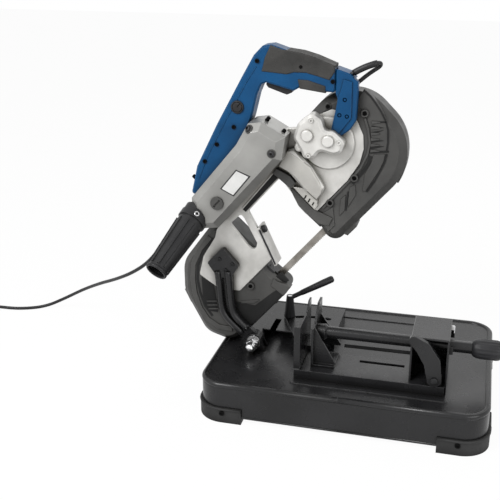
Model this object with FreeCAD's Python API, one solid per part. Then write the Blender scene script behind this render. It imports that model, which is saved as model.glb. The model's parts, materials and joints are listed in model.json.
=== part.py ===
import FreeCAD, Part
import math
import os

# Portable band saw hinged on a bench stand with a vise. Millimetres, Z up, floor at zero.
# The saw is drawn lowered: X forward along the blade, Z up, blade plane at Y zero and the
# hinge axis through the origin. It is then tilted up and set on the stand.

# Stand driving sizes
base_length = 500.0
base_width = 381.0
base_top = 72.0
base_middle_x = 40.6
tray_bottom = 10.0
tray_sheet = 2.0
tray_corner_radius = 45.0
tray_edge_radius = 9.0
bead_radius = 5.0
bead_rise = 2.0
bead_inset = 41.5
bead_length_share = 0.54
bead_shift = 44.0
foot_proud = 4.0
foot_height = 28.0
foot_lip = 14.0
foot_inner_radius = 7.0
foot_arm_x = 86.0
foot_arm_y = 110.0
foot_screw_radius = 4.5
foot_screw_height = 2.0
plate_sheet = 3.0

# Vise bed, miter plate and hinge ears
bed_left = -88.0
bed_right = 172.0
bed_near = -133.0
bed_far = -53.0
bed_top = 89.0
bed_slot_width = 9.0
bed_slot_left = 20.0
bed_slot_right = 100.0
miter_left = -178.0
miter_right = -38.0
miter_far = 130.0
miter_top = 97.0
miter_notch_left = -163.0
miter_notch_right = -151.0
miter_notch_depth = 50.0
tongue_left = -100.0
tongue_right = -70.0
tongue_near = -50.0
hinge_x = -184.0
hinge_z = 88.0
ear_near = -42.0
ear_sheet = 5.7
ear_half_base = 23.0
ear_radius = 15.0
ear_gap = 0.3
hinge_bolt_radius = 6.0
hinge_fit = 0.05
washer_radius = 13.0
washer_thickness = 2.5
nut_width = 20.0
nut_height = 9.0
dome_radius = 9.0

# Fixed jaw, its pivot, lock stud and lever
jaw_height = 172.0
jaw_back_height = 188.0
jaw_bottom = 92.5
jaw_near = -132.0
fixed_jaw_face = -77.0
pivot_x = -84.0
pivot_y = -36.0
pivot_radius = 4.0
stud_x = -138.0
stud_y = 62.0
stud_radius = 5.0
tail_lift = 0.3
jaw_flange = 11.0
step_near = -55.0
lever_hub_radius = 11.0
lever_hub_height = 44.0
lever_length = 80.0
lever_rise = 36.0
lever_turn = 20.0
lever_radius = 5.5
jaw_swing = 40.0

# Sliding jaw, vise screw, bracket and quick-release lever
moving_jaw_face = -62.0
moving_jaw_sheet = 4.0
moving_jaw_near = -112.0
moving_jaw_far = -30.0
moving_jaw_near_top = 161.0
moving_jaw_foot = 89.3
gusset_length = 38.0
gusset_near = -104.0
gusset_far = -41.0
screw_y = -72.0
screw_z = 140.0
screw_radius = 10.5
screw_collar_radius = 14.0
screw_collar_length = 18.0
screw_fit = 0.4
screw_end = 212.0
knob_radius = 18.0
knob_length = 50.0
knob_grips = 12
flute_radius = 3.0
bracket_left = 111.0
bracket_right = 175.0
bracket_near = -122.0
bracket_far = -30.0
bracket_top = 172.0
bracket_bolt_edge = 12.0
release_x = 154.5
release_z = 101.0
release_near = -134.0
release_thickness = 9.0
release_hub_radius = 12.0
release_pin_radius = 4.0
release_bow = [(149.0, 133.0, 14.0), (134.0, 157.0, 13.0), (117.0, 170.0, 8.5)]

# Saw driving sizes; outlines below are shares of the reach
saw_reach = 500.0
rest_tilt = 49.0
wheel_radius_share = 0.15
wheel_radius = wheel_radius_share * saw_reach
wheel_height_share = 0.238
idler_share = 0.092
drive_share = 0.76
wheel_width = 15.0
wheel_web = 5.0
wheel_rim = 8.0
hub_radius = 14.0
axle_radius = 6.0
running_fit = 0.05
tyre_thickness = 2.5
tyre_gap = 0.3
axle_gap = 0.3
wheel_holes = 5
blade_width = 13.0
blade_thickness = 0.8
blade_height_share = 0.102
cut_start_share = 0.22
cut_end_share = 0.52
twist_steps = 14
tooth_pitch = 4.0
tooth_depth = 1.6
guide_slot = 1.5
guide_length = 12.0
guide_half_width = 8.0
guide_rise = 30.0
guide_tab_rise = 52.0

# Depths across the saw, near side negative
guard_near = -22.0
guard_far = 32.0
guard_wall = 3.0
guard_bevel_share = 0.018
guard_bevel = guard_bevel_share * saw_reach
front_guard_bevel_share = 0.028
front_guard_bevel = front_guard_bevel_share * saw_reach
guard_ribs = 6
guard_rib_base = 5.0
guard_rib_tip = 1.4
guard_boss_radius = 5.6
guard_boss_rise = 1.5
frame_near = -24.0
frame_far = -14.0
frame_rib_near = -40.0
arm_near = -36.0
arm_groove_depth = 6.0
cover_near = -54.0
cover_bevel = 5.0
disc_rise = 4.0
strut_round = 8.0
strut_bevel = 4.0
motor_near = -82.0
motor_far = -8.0
motor_bevel = 13.0
handle_near = -38.0
handle_split = -20.0
handle_far = -2.0
handle_round = 5.0
grip_skin = 1.5
bracket_blue_far = -24.0
boot_y = -60.0
boot_end_y = -168.0
boot_wide = 25.0
boot_narrow = 18.5
boot_ribs = 9
boot_rib_width = 4.0
boot_rib_span_shares = (0.24, 0.94)
boot_wall = 2.5
hook_y = -10.0
hook_radius = 3.3
trigger_half_width = 7.0
trigger_y = -20.0
trigger_travel = 6.0
trigger_room = 0.4
dial_radius = 8.5
dial_height = 3.0
dial_gap = 0.3
dial_bevel = 0.75
dial_mark_depth = 1.5
dial_mark_width = 1.7
brush_cap_radius = 11.5
brush_cap_height = 3.0
brush_slot_length = 17.0
brush_slot_depth = 1.7
brush_slot_width = 3.4
stop_knob_y = -10.0
stop_far = 15.0
stop_knob_radius = 7.0
screw_head_radius = 3.6
screw_head_height = 2.2
socket_width = 3.4
boss_rise = 5.0
corner_radius = 5.0
return_guard_sheet = 2.5
return_guard_far = 13.0
return_guard_rise = 22.0
rib_width = 3.0
rib_rise = 2.0

# Outlines of the saw in shares of its reach: forward along the blade, then up
frame_shares = [
    (0.034, 0.322), (0.048, 0.224), (0.100, 0.170), (0.282, 0.170), (0.332, 0.286), (0.356, 0.352),
    (0.536, 0.352), (0.524, 0.288), (0.512, 0.176), (0.698, 0.176), (0.770, 0.188), (0.816, 0.212),
    (0.850, 0.246), (0.872, 0.296), (0.868, 0.340), (0.840, 0.384), (0.776, 0.412), (0.692, 0.416),
    (0.620, 0.390), (0.220, 0.390), (0.190, 0.374), (0.102, 0.358),
]
frame_window_shares = [
    (0.330, 0.364), (0.327, 0.344), (0.290, 0.248), (0.272, 0.238), (0.258, 0.244), (0.257, 0.266), (0.270, 0.369),
]
strut_shares = [
    (0.640, 0.400), (0.660, 0.385), (0.650, 0.296), (0.628, 0.216), (0.592, 0.204), (0.572, 0.253),
    (0.580, 0.336), (0.578, 0.388),
]
ring_share = (0.747, 0.314)
ring_radius_share = 0.092
arm_shares = [
    (-0.026, 0), (-0.026, 0.096), (-0.016, 0.158), (0.010, 0.196), (0.092, 0.284), (0.104, 0.332),
    (0.190, 0.328), (0.180, 0.238), (0.134, 0.232), (0.068, 0.172), (0.034, 0.130), (0.026, 0.096), (0.026, 0),
]
arm_slot_shares = [
    (-0.002, 0.060), (0.006, 0.060), (0.008, 0.128), (0.030, 0.166), (0.108, 0.246), (0.100, 0.254),
    (0.022, 0.176), (-0.002, 0.136),
]
arm_screw_shares = [(0.132, 0.264), (0.168, 0.260), (0.148, 0.308)]
cover_shares = [
    (0.690, 0.414), (0.740, 0.436), (0.796, 0.426), (0.803, 0.386), (0.782, 0.352), (0.803, 0.328),
    (0.803, 0.276), (0.766, 0.260), (0.744, 0.274), (0.722, 0.318), (0.690, 0.314), (0.662, 0.340), (0.676, 0.364),
]
cover_boss_shares = [(0.732, 0.384, 0.020), (0.767, 0.320, 0.020)]
cover_screw_shares = [(0.780, 0.408), (0.684, 0.334), (0.790, 0.290)]
motor_shares = [
    (0.286, 0.532), (0.546, 0.540), (0.630, 0.558), (0.666, 0.528), (0.686, 0.434),
    (0.616, 0.390), (0.272, 0.390), (0.222, 0.434), (0.254, 0.502),
]
brush_cap_share = (0.348, 0.452)
handle_shares = [
    (0.268, 0.546), (0.360, 0.596), (0.529, 0.641), (0.720, 0.684), (0.797, 0.700), (0.842, 0.698),
    (0.866, 0.677), (0.956, 0.466), (0.896, 0.413), (0.874, 0.440), (0.826, 0.512), (0.802, 0.520), (0.758, 0.608),
    (0.742, 0.616), (0.706, 0.604), (0.633, 0.566), (0.536, 0.524), (0.280, 0.524),
]
grip_shares = [
    (0.852, 0.692), (0.874, 0.682), (0.915, 0.588), (0.937, 0.540), (0.961, 0.474), (0.944, 0.460), (0.913, 0.456),
    (0.877, 0.529), (0.849, 0.561), (0.828, 0.574), (0.776, 0.644), (0.812, 0.674),
]
grip_strip_shares = [(0.842, 0.536), (0.864, 0.508), (0.890, 0.452), (0.872, 0.436), (0.823, 0.510)]
handle_screw_shares = [(0.792, 0.678), (0.564, 0.590), (0.474, 0.594), (0.396, 0.586), (0.918, 0.444)]
bracket_shares = [
    (0.956, 0.466), (0.974, 0.424), (0.974, 0.380), (0.875, 0.298), (0.840, 0.292), (0.797, 0.300), (0.790, 0.336),
    (0.845, 0.368), (0.885, 0.392), (0.896, 0.413),
]
bracket_tip_shares = [
    (0.956, 0.466), (0.974, 0.424), (0.972, 0.396), (0.935, 0.394), (0.896, 0.413),
]
bracket_screw_shares = [(0.902, 0.374), (0.852, 0.352), (0.866, 0.331)]
hook_shares = [
    (0.950, 0.434), (1.003, 0.424), (1.048, 0.396), (1.056, 0.366), (1.012, 0.366), (0.957, 0.398),
]
boot_start_share = (0.256, 0.482)
boot_end_share = (0.079, 0.444)
dial_share = (0.626, 0.626)
trigger_spot_share = (0.777, 0.566)
trigger_shares = [
    (-0.048, 0.014), (-0.048, -0.008), (-0.038, -0.016), (0.030, -0.022), (0.046, -0.010), (0.046, 0.014),
]
trigger_lean = -62.3
front_guard_shares = [
    (0.474, 0.046, 0.040), (0.952, 0.046, 0.186), (0.976, 0.430, 0.150), (0.690, 0.428, 0.040),
    (0.660, 0.392, 0.020), (0.536, 0.384, 0.040), (0.524, 0.288, 0.080), (0.512, 0.176, 0.080),
]
rear_guard_shares = [
    (-0.012, 0.040, 0.080), (0.244, 0.040, 0.030), (0.236, 0.150, 0.040), (0.262, 0.196, 0.040),
    (0.268, 0.372, 0.030), (0.200, 0.416, 0.060), (0.020, 0.400, 0.110), (-0.072, 0.318, 0.110),
    (-0.134, 0.150, 0.070), (-0.094, 0.060, 0.060),
]
guard_screw_shares = [(0.908, 0.294), (0.838, 0.400), (0.720, 0.165), (0.594, 0.164), (0.144, 0.154)]
guard_rib_inner_shares = [(0.901, 0.256), (0.828, 0.192)]
guard_rib_outer_shares = [(0.922, 0.236), (0.848, 0.170)]
stop_shares = [(0.332, 0.286), (0.270, 0.144), (0.278, 0.140), (0.340, 0.282)]
return_guard_span_shares = (0.338, 0.532)
return_guard_low_share = 0.353
relief_share = (0.234, 0.460)

# Cord
cord_diameter = 7.0
coil_turn_radius = 38.5
coil_edge_radius = 2.4
coil_layers = 3
plug_length = 42.0
plug_radius = 17.0
plug_pin_radius = 2.4
plug_pin_length = 19.0
plug_pin_gap = 19.0
relief_length = 24.0
relief_radius = 6.0
relief_y = -22.0
floor_height = 3.9
coil_x = -905.0
coil_y = 113.0
cord_route = [
    (-325.0, -22.0, 307.5),
    (-352.0, -15.0, 281.0),
    (-377.0, -2.0, 247.0),
    (-411.0, 10.0, 205.0),
    (-455.0, 30.0, 171.0),
    (-510.0, 70.0, 136.0),
    (-562.0, 115.0, 105.0),
    (-625.0, 160.0, 66.0),
    (-684.0, 184.0, 28.0),
    (-733.0, 176.0, 3.9),
    (-784.0, 150.0, 3.9),
    (-836.0, 148.0, 3.9),
    (-888.0, 152.0, 3.9),
]

# Shaping shares
corner_share = 0.45
bead_fillet_share = 0.6
foot_screw_share = 0.6
bolt_head_share = 0.6
nut_bevel_share = 0.45
nut_dome_share = 0.6
lever_taper_share = 0.6
lever_arm_share = 0.8
pivot_boss_share = 1.35
flute_share = 0.6
way_width_share = 0.6
way_start_share = 0.45
guide_cover_share = 0.45
tooth_back_share = 0.6
wheel_hole_share = 0.9
knob_place_share = 0.9
boot_collar_share = 0.092
boot_depth_share = 0.45
cord_grip_share = 0.6

origin = FreeCAD.Vector(0, 0, 0)
along_x = FreeCAD.Vector(1, 0, 0)
along_y = FreeCAD.Vector(0, 1, 0)
along_z = FreeCAD.Vector(0, 0, 1)
os.makedirs("parts", exist_ok=True)


def vec(x, y, z):
    return FreeCAD.Vector(x, y, z)


def box(x0, x1, y0, y1, z0, z1):
    return Part.makeBox(x1 - x0, y1 - y0, z1 - z0, vec(x0, y0, z0))


def rod(start, axis, length, radius):
    return Part.makeCylinder(radius, length, start, axis)


def rounded_wire(points, radius):
    # Closed wire with each corner rounded as far as its two sides allow, or by a list of radii
    if radius == 0:
        return Part.makePolygon(points + points[:1])
    edges = []
    corners = []
    for i in range(len(points)):
        back = points[i - 1] - points[i]
        ahead = points[(i + 1) % len(points)] - points[i]
        half_angle = back.getAngle(ahead) / 2
        if isinstance(radius, list):
            reach = radius[i] / math.tan(half_angle)
        else:
            reach = min(radius / math.tan(half_angle), corner_share * min(back.Length, ahead.Length))
        back.normalize()
        ahead.normalize()
        middle = (back + ahead).normalize()
        depth = reach * (1 - math.sin(half_angle)) / math.cos(half_angle)
        start = points[i] + back * reach
        end = points[i] + ahead * reach
        corners.append((start, points[i] + middle * depth, end))
    for i in range(len(corners)):
        edges.append(Part.LineSegment(corners[i - 1][2], corners[i][0]).toShape())
        edges.append(Part.Arc(*corners[i]).toShape())
    return Part.Wire(edges)


def slab(points, push, radius=0):
    return Part.Face(rounded_wire(points, radius)).extrude(push)


def saw_plate(shares, near, far, radius=0):
    points = [vec(u * saw_reach, near, v * saw_reach) for u, v in shares]
    return slab(points, vec(0, far - near, 0), radius)


def saw_rod(spot, near, far, radius):
    start = vec(spot[0] * saw_reach, near, spot[1] * saw_reach)
    return rod(start, along_y, far - near, radius)


def link(start, end, start_radius, end_radius, near, far):
    # Flat bar in the X-Z plane with round ends of two sizes
    line = vec(end[0] - start[0], 0, end[1] - start[1])
    side = vec(-line.z, 0, line.x).normalize()
    head = vec(start[0], near, start[1])
    tail = vec(end[0], near, end[1])
    push = vec(0, far - near, 0)
    points = [head + side * start_radius, tail + side * end_radius]
    points += [tail - side * end_radius, head - side * start_radius]
    ends = [rod(head, along_y, far - near, start_radius), rod(tail, along_y, far - near, end_radius)]
    return slab(points, push).multiFuse(ends).removeSplitter()


def hexagon(middle, axis, width, height):
    # Six-sided prism about the axis
    side = along_z if abs(axis.z) == 0 else along_x
    points = []
    for i in range(6):
        turn = FreeCAD.Rotation(axis, i * 60)
        points.append(middle + turn.multVec(side) * (width / math.sqrt(3)))
    return slab(points, axis * height)


def screw_head(middle, axis, radius, height):
    # Round head with a six-sided socket
    socket = hexagon(middle + axis * (height / 2), axis, radius, height)
    return rod(middle, axis, height, radius).cut(socket)


def edges_at(shape, side, place):
    # Edges that lie wholly at one height along X, Y or Z
    found = []
    for edge in shape.Edges:
        ends = [getattr(vertex.Point, side) for vertex in edge.Vertexes]
        if max(abs(end - place) for end in ends) < running_fit:
            found.append(edge)
    return found


def whole(shape):
    # One clean solid from a fused or cut shape
    clean = shape.removeSplitter()
    return clean.Solids[0] if len(clean.Solids) == 1 else clean


def largest(shape):
    # The main solid of a cut shape, without the offcuts
    clean = shape.removeSplitter()
    return max(clean.Solids, key=lambda solid: solid.Volume)


def tilt_up(shape):
    # Take a piece of the lowered saw to its place on the stand
    raised = shape.copy()
    raised.rotate(origin, along_y, -rest_tilt)
    raised.translate(vec(hinge_x, 0, hinge_z))
    return raised


def save(name, shape):
    placed = shape.copy()
    placed.translate(vec(base_middle_x, 0, 0))
    placed.exportStep("parts/" + name + ".step")
    print(name, len(placed.Solids), placed.isValid(), round(placed.Volume))


def save_saw(name, shape):
    save(name, tilt_up(shape))


# Pressed tray, open below, with a rolled edge and raised beads
def rounded_block(length, width, low, high, radius):
    x = length / 2
    y = width / 2
    points = [vec(-x, -y, low), vec(x, -y, low), vec(x, y, low), vec(-x, y, low)]
    return slab(points, vec(0, 0, high - low), radius)


def tray():
    outer = rounded_block(base_length, base_width, tray_bottom, base_top, tray_corner_radius)
    outer = outer.makeFillet(tray_edge_radius, edges_at(outer, "z", base_top))
    inside_top = base_top - tray_sheet
    inner = rounded_block(
        base_length - 2 * tray_sheet,
        base_width - 2 * tray_sheet,
        0,
        inside_top,
        tray_corner_radius - tray_sheet,
    )
    inner = inner.makeFillet(tray_edge_radius - tray_sheet, edges_at(inner, "z", inside_top))
    shape = outer.cut(inner)
    bead_length = base_length * bead_length_share
    for side in (-1, 1):
        bead = rounded_block(bead_length, 2 * bead_radius, base_top, base_top + bead_rise, bead_radius)
        bead = bead.makeFillet(bead_rise * bead_fillet_share, edges_at(bead, "z", base_top + bead_rise))
        bead.translate(vec(bead_shift, side * (base_width / 2 - bead_inset), 0))
        shape = shape.fuse(bead)
    return whole(shape)


def foot(side_x, side_y):
    # Rubber corner that hooks under the tray wall and stands proud of it
    half_x = base_length / 2 + foot_proud
    half_y = base_width / 2 + foot_proud
    outer = rounded_block(2 * half_x, 2 * half_y, 0, foot_height, tray_corner_radius + foot_proud)
    outer = outer.makeChamfer(foot_proud / 2, edges_at(outer, "z", foot_height))
    seat = rounded_block(base_length, base_width, tray_bottom, 2 * foot_height, tray_corner_radius)
    core = rounded_block(base_length - 2 * foot_lip, base_width - 2 * foot_lip, 0, foot_height, foot_inner_radius)
    inner_x = side_x * (half_x - foot_arm_x)
    inner_y = side_y * (half_y - foot_arm_y)
    span_x = sorted((inner_x, side_x * half_x))
    span_y = sorted((inner_y, side_y * half_y))
    corner = box(span_x[0], span_x[1], span_y[0], span_y[1], 0, foot_height)
    return whole(outer.cut(seat).cut(core).common(corner))


def foot_screw_heads():
    heads = []
    half_x = base_length / 2 + foot_proud
    half_y = base_width / 2 + foot_proud
    height = (foot_height + tray_bottom) / 2
    for side_x in (-1, 1):
        for side_y in (-1, 1):
            spot = vec(side_x * (half_x - foot_arm_x * foot_screw_share), side_y * half_y, height)
            heads.append(screw_head(spot, vec(0, side_y, 0), foot_screw_radius, foot_screw_height))
            spot = vec(side_x * half_x, side_y * (half_y - foot_arm_y * foot_screw_share), height)
            heads.append(screw_head(spot, vec(side_x, 0, 0), foot_screw_radius, foot_screw_height))
    return Part.makeCompound(heads)


save("base_tray", tray())
save("foot_near_left", foot(-1, -1))
save("foot_near_right", foot(1, -1))
save("foot_far_left", foot(-1, 1))
save("foot_far_right", foot(1, 1))
save("foot_screws", foot_screw_heads())


# Folded vise bed with a guide slot
def vise_bed():
    shape = box(bed_left, bed_right, bed_near, bed_far, base_top, bed_top)
    near = bed_near + plate_sheet
    far = bed_far - plate_sheet
    shape = shape.cut(box(bed_left, bed_right, near, far, base_top, bed_top - plate_sheet))
    half = bed_slot_width / 2
    slot = box(bed_slot_left, bed_slot_right, screw_y - half, screw_y + half, base_top, bed_top)
    lug = box(
        release_x - release_hub_radius,
        release_x + release_hub_radius,
        release_near + release_thickness + ear_gap,
        release_near + release_thickness + ear_gap + plate_sheet,
        bed_top,
        release_z + release_pin_radius * 2,
    )
    pin = rod(vec(release_x, release_near, release_z), along_y, base_width, release_pin_radius)
    return whole(shape.cut(slot).fuse(lug).cut(pin))


# Miter plate with a notch, a tongue for the jaw pivot and an arc slot for the lock stud
def arc_slot():
    middle = vec(pivot_x, pivot_y, base_top)
    reach = math.hypot(stud_x - pivot_x, stud_y - pivot_y)
    half = stud_radius + ear_gap
    start = math.degrees(math.atan2(stud_y - pivot_y, stud_x - pivot_x))
    ring = Part.makeCylinder(reach + half, miter_top, middle, along_z, jaw_swing)
    ring = ring.cut(rod(middle, along_z, miter_top, reach - half))
    ring.rotate(middle, along_z, start - jaw_swing)
    ends = []
    for turn in (start, start - jaw_swing):
        angle = math.radians(turn)
        spot = middle + vec(reach * math.cos(angle), reach * math.sin(angle), 0)
        ends.append(rod(spot, along_z, miter_top, half))
    return ring.multiFuse(ends)


def miter_plate():
    under = miter_top - plate_sheet
    outline = [
        (miter_left, 0),
        (miter_notch_left, 0),
        (miter_notch_left, miter_notch_depth),
        (miter_notch_right, miter_notch_depth),
        (miter_notch_right, 0),
        (tongue_left, 0),
        (tongue_left, tongue_near),
        (tongue_right, tongue_near),
        (tongue_right, 0),
        (miter_right, 0),
        (miter_right, miter_far),
        (miter_left, miter_far),
    ]
    top = slab([vec(x, y, under) for x, y in outline], vec(0, 0, plate_sheet))
    folds = [
        box(miter_left, miter_right, miter_far - plate_sheet, miter_far, base_top, under),
        box(miter_left, miter_left + plate_sheet, 0, miter_far, base_top, under),
        box(miter_right - plate_sheet, miter_right, 0, miter_far, base_top, under),
        box(tongue_left, tongue_right, tongue_near, tongue_near + plate_sheet, base_top, under),
    ]
    pin = rod(vec(pivot_x, pivot_y, base_top), along_z, base_top, pivot_radius)
    return whole(top.multiFuse(folds).cut(arc_slot()).cut(pin))


# Hinge ears on the tray, with the bolt and its stack of nuts
def hinge_ears():
    drop = base_top - hinge_z
    far_ear = frame_near + ear_gap
    ears = []
    for near in (ear_near, far_ear):
        points = [(-ear_half_base, drop), (ear_half_base, drop), (ear_radius, 0), (-ear_radius, 0)]
        points = [vec(hinge_x + x, near, hinge_z + z) for x, z in points]
        ear = slab(points, vec(0, ear_sheet, 0))
        ears.append(ear.fuse(rod(vec(hinge_x, near, hinge_z), along_y, ear_sheet, ear_radius)))
    bolt = rod(vec(hinge_x, ear_near, hinge_z), along_y, base_width, hinge_bolt_radius)
    return Part.makeCompound([whole(ear.cut(bolt)) for ear in ears])


def hinge_bolt():
    head_start = frame_near + ear_gap + ear_sheet
    stack = washer_thickness + 2 * nut_height + dome_radius
    start = vec(hinge_x, ear_near - stack, hinge_z)
    shank = rod(start, along_y, head_start - ear_near + stack, hinge_bolt_radius)
    head = hexagon(vec(hinge_x, head_start, hinge_z), along_y, nut_width, nut_height * bolt_head_share)
    return whole(shank.fuse(head))


def hinge_nuts(bolt):
    y = ear_near - washer_thickness
    pieces = [rod(vec(hinge_x, y, hinge_z), along_y, washer_thickness, washer_radius)]
    for number in range(2):
        y = y - nut_height
        nut = hexagon(vec(hinge_x, y, hinge_z), along_y, nut_width, nut_height)
        cone = Part.makeCone(nut_width * nut_bevel_share, nut_width, nut_width, vec(hinge_x, y, hinge_z), along_y)
        pieces.append(nut.common(cone))
    y = y - dome_radius * nut_dome_share
    collar = rod(vec(hinge_x, y, hinge_z), along_y, dome_radius * nut_dome_share, dome_radius)
    dome = Part.makeSphere(dome_radius, vec(hinge_x, y, hinge_z))
    dome = dome.common(box(hinge_x - nut_width, hinge_x + nut_width, y - nut_width, y, 0, base_width))
    pieces.append(collar.fuse(dome))
    return Part.makeCompound([whole(piece.cut(bolt)) for piece in pieces])


# Fixed jaw that swings on its pivot, with the tail that the lever clamps
def fixed_jaw():
    tail_low = miter_top + tail_lift
    x = fixed_jaw_face - plate_sheet
    slope = jaw_back_height - jaw_height
    outline = [
        (jaw_near, jaw_bottom),
        (step_near, jaw_bottom),
        (step_near, tail_low),
        (pivot_y, tail_low),
        (pivot_y, jaw_back_height),
        (pivot_y - slope, jaw_back_height),
        (pivot_y - 2 * slope, jaw_height),
        (jaw_near, jaw_height),
    ]
    upright = slab([vec(x, y, z) for y, z in outline], vec(plate_sheet, 0, 0))
    flange = box(
        fixed_jaw_face - jaw_flange, fixed_jaw_face, jaw_near - plate_sheet, jaw_near, jaw_bottom, jaw_height
    )
    reach = vec(stud_x - pivot_x, stud_y - pivot_y, 0)
    aim = vec(reach.x, reach.y, 0).normalize()
    side = vec(-aim.y, aim.x, 0) * (2 * stud_radius)
    pivot = vec(pivot_x, pivot_y, tail_low)
    stud = vec(stud_x, stud_y, tail_low)
    strip = slab([pivot, stud - side, stud + side, pivot + side * 2], vec(0, 0, plate_sheet))
    pad = rod(stud, along_z, plate_sheet, 2 * stud_radius)
    heel = box(pivot_x - 4 * stud_radius, x, step_near, pivot_y, tail_low, tail_low + plate_sheet)
    knuckle = rod(pivot, along_z, plate_sheet, pivot_radius * pivot_boss_share)
    shape = upright.multiFuse([flange, strip, pad, heel, knuckle])
    shape = shape.cut(rod(pivot, along_z, plate_sheet, pivot_radius + running_fit))
    return whole(shape.cut(rod(stud, along_z, plate_sheet, stud_radius)))


def pivot_pin():
    # Stays below the top of the jaw's tail
    length = plate_sheet + tail_lift + plate_sheet
    return rod(vec(pivot_x, pivot_y, miter_top - plate_sheet), along_z, length, pivot_radius)


def lock_stud():
    low = miter_top - 3 * plate_sheet
    stud = rod(vec(stud_x, stud_y, low), along_z, lever_hub_height + 4 * plate_sheet, stud_radius)
    return stud


def lock_lever():
    low = miter_top + 2 * tail_lift + plate_sheet
    hub_top = low + lever_hub_height
    hub = Part.makeCone(
        lever_hub_radius, lever_hub_radius * lever_taper_share, lever_hub_height, vec(stud_x, stud_y, low), along_z
    )
    arm_start = vec(stud_x, stud_y, hub_top - lever_radius)
    turn = math.radians(lever_turn)
    arm_line = vec(lever_length * math.cos(turn), lever_length * math.sin(turn), lever_rise)
    arm = Part.makeCone(lever_radius * lever_arm_share, lever_radius, arm_line.Length, arm_start, arm_line)
    knob = Part.makeSphere(lever_radius, arm_start + arm_line)
    shape = hub.multiFuse([arm, knob])
    bore = stud_radius + running_fit
    bore_length = lever_hub_height + plate_sheet
    return whole(shape.cut(rod(vec(stud_x, stud_y, low), along_z, bore_length, bore)))


bolt_shape = hinge_bolt()
save("vise_bed", vise_bed())
save("miter_plate", miter_plate())
save("hinge_ears", hinge_ears())
save("hinge_bolt", bolt_shape)
save("hinge_nuts", hinge_nuts(bolt_shape))
save("fixed_jaw", fixed_jaw())
save("jaw_pivot_pin", pivot_pin())
save("lock_stud", lock_stud())
save("lock_lever", lock_lever())


# Sliding jaw with two gussets
def moving_jaw():
    back = moving_jaw_face + moving_jaw_sheet
    step_low = miter_top + plate_sheet
    slope = jaw_back_height - moving_jaw_near_top
    outline = [
        (moving_jaw_near, moving_jaw_foot),
        (step_near, moving_jaw_foot),
        (step_near, step_low),
        (moving_jaw_far, step_low),
        (moving_jaw_far, jaw_back_height),
        (moving_jaw_far - slope, jaw_back_height),
        (moving_jaw_far - 2 * slope, moving_jaw_near_top),
        (moving_jaw_near, moving_jaw_near_top),
    ]
    points = [vec(moving_jaw_face, y, z) for y, z in outline]
    pieces = [slab(points, vec(moving_jaw_sheet, 0, 0))]
    foot_top = moving_jaw_foot + plate_sheet
    pieces.append(box(back, back + gusset_length, moving_jaw_near, step_near, moving_jaw_foot, foot_top))
    for y in (gusset_near, gusset_far):
        low = foot_top if y == gusset_near else step_low
        points = [vec(back, y, low), vec(back + gusset_length, y, low)]
        points += [vec(back + gusset_length, y, low + moving_jaw_sheet), vec(back, y, moving_jaw_near_top)]
        pieces.append(slab(points, vec(0, plate_sheet, 0)))
    return whole(pieces[0].multiFuse(pieces[1:]))


# Vise screw with its thrust collar, and the hand knob on its end
def vise_screw():
    start = moving_jaw_face + moving_jaw_sheet + ear_gap
    shape = rod(vec(start, screw_y, screw_z), along_x, screw_end - start + knob_length / 2, screw_radius)
    collar = rod(vec(start, screw_y, screw_z), along_x, screw_collar_length, screw_collar_radius)
    collar = collar.makeChamfer(plate_sheet, edges_at(collar, "x", start + screw_collar_length))
    return whole(shape.fuse(collar))


def hand_knob(screw):
    knob = rod(vec(screw_end, screw_y, screw_z), along_x, knob_length, knob_radius)
    knob = knob.makeChamfer(plate_sheet, edges_at(knob, "x", screw_end + knob_length))
    for i in range(knob_grips):
        angle = 2 * math.pi * i / knob_grips
        reach = knob_radius + flute_radius * flute_share
        spot = vec(screw_end, screw_y + reach * math.cos(angle), screw_z + reach * math.sin(angle))
        knob = knob.cut(rod(spot, along_x, knob_length, flute_radius))
    return whole(knob.cut(screw))


# Folded bracket that carries the screw, open at the near side
def screw_bracket():
    outer = box(bracket_left, bracket_right, bracket_near, bracket_far, base_top, bracket_top)
    inner = box(
        bracket_left + plate_sheet,
        bracket_right - plate_sheet,
        bracket_near,
        bracket_far - plate_sheet,
        base_top,
        bracket_top - plate_sheet,
    )
    bore = rod(vec(bracket_left, screw_y, screw_z), along_x, base_length, screw_radius + screw_fit)
    bed = box(bed_left, bed_right, bed_near, bed_far, base_top, bed_top)
    shape = outer.makeChamfer(plate_sheet / 2, edges_at(outer, "z", bracket_top))
    return whole(shape.cut(inner).cut(bore).cut(bed))


def bracket_bolts():
    bolts = []
    edge = bracket_bolt_edge
    for y in (bracket_near + edge, bracket_far - edge):
        spot = vec(bracket_right, y, bracket_top - 2 * edge)
        bolts.append(hexagon(spot, along_x, edge, 2 * plate_sheet))
    return Part.makeCompound(bolts)


# Curved quick-release lever on its pin
def release_lever():
    # Bowed plate from the pin up to a rounded end; each place on it has its own half width
    far = release_near + release_thickness
    places = [(release_x, release_z, release_hub_radius)] + release_bow
    lengths = []
    for before, after in zip(places[:-1], places[1:]):
        lengths.append(link(before[:2], after[:2], before[2], after[2], release_near, far))
    bore = rod(vec(release_x, release_near, release_z), along_y, base_width, release_pin_radius + running_fit)
    return whole(lengths[0].multiFuse(lengths[1:]).cut(bore))


def lever_pin():
    head = rod(vec(release_x, release_near - plate_sheet, release_z), along_y, plate_sheet - ear_gap,
               release_pin_radius * pivot_boss_share)
    length = release_thickness + ear_gap + 2 * plate_sheet
    return head.fuse(rod(vec(release_x, release_near - plate_sheet, release_z), along_y,
                         length, release_pin_radius))


screw_shape = vise_screw()
save("moving_jaw", moving_jaw())
save("vise_screw", screw_shape)
save("hand_knob", hand_knob(screw_shape))
save("screw_bracket", screw_bracket())
save("bracket_bolts", bracket_bolts())
save("release_lever", release_lever())
save("lever_pin", lever_pin())


def at(share, y):
    return vec(share[0] * saw_reach, y, share[1] * saw_reach)


idler_centre = at((idler_share, wheel_height_share), 0)
drive_centre = at((drive_share, wheel_height_share), 0)


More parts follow.
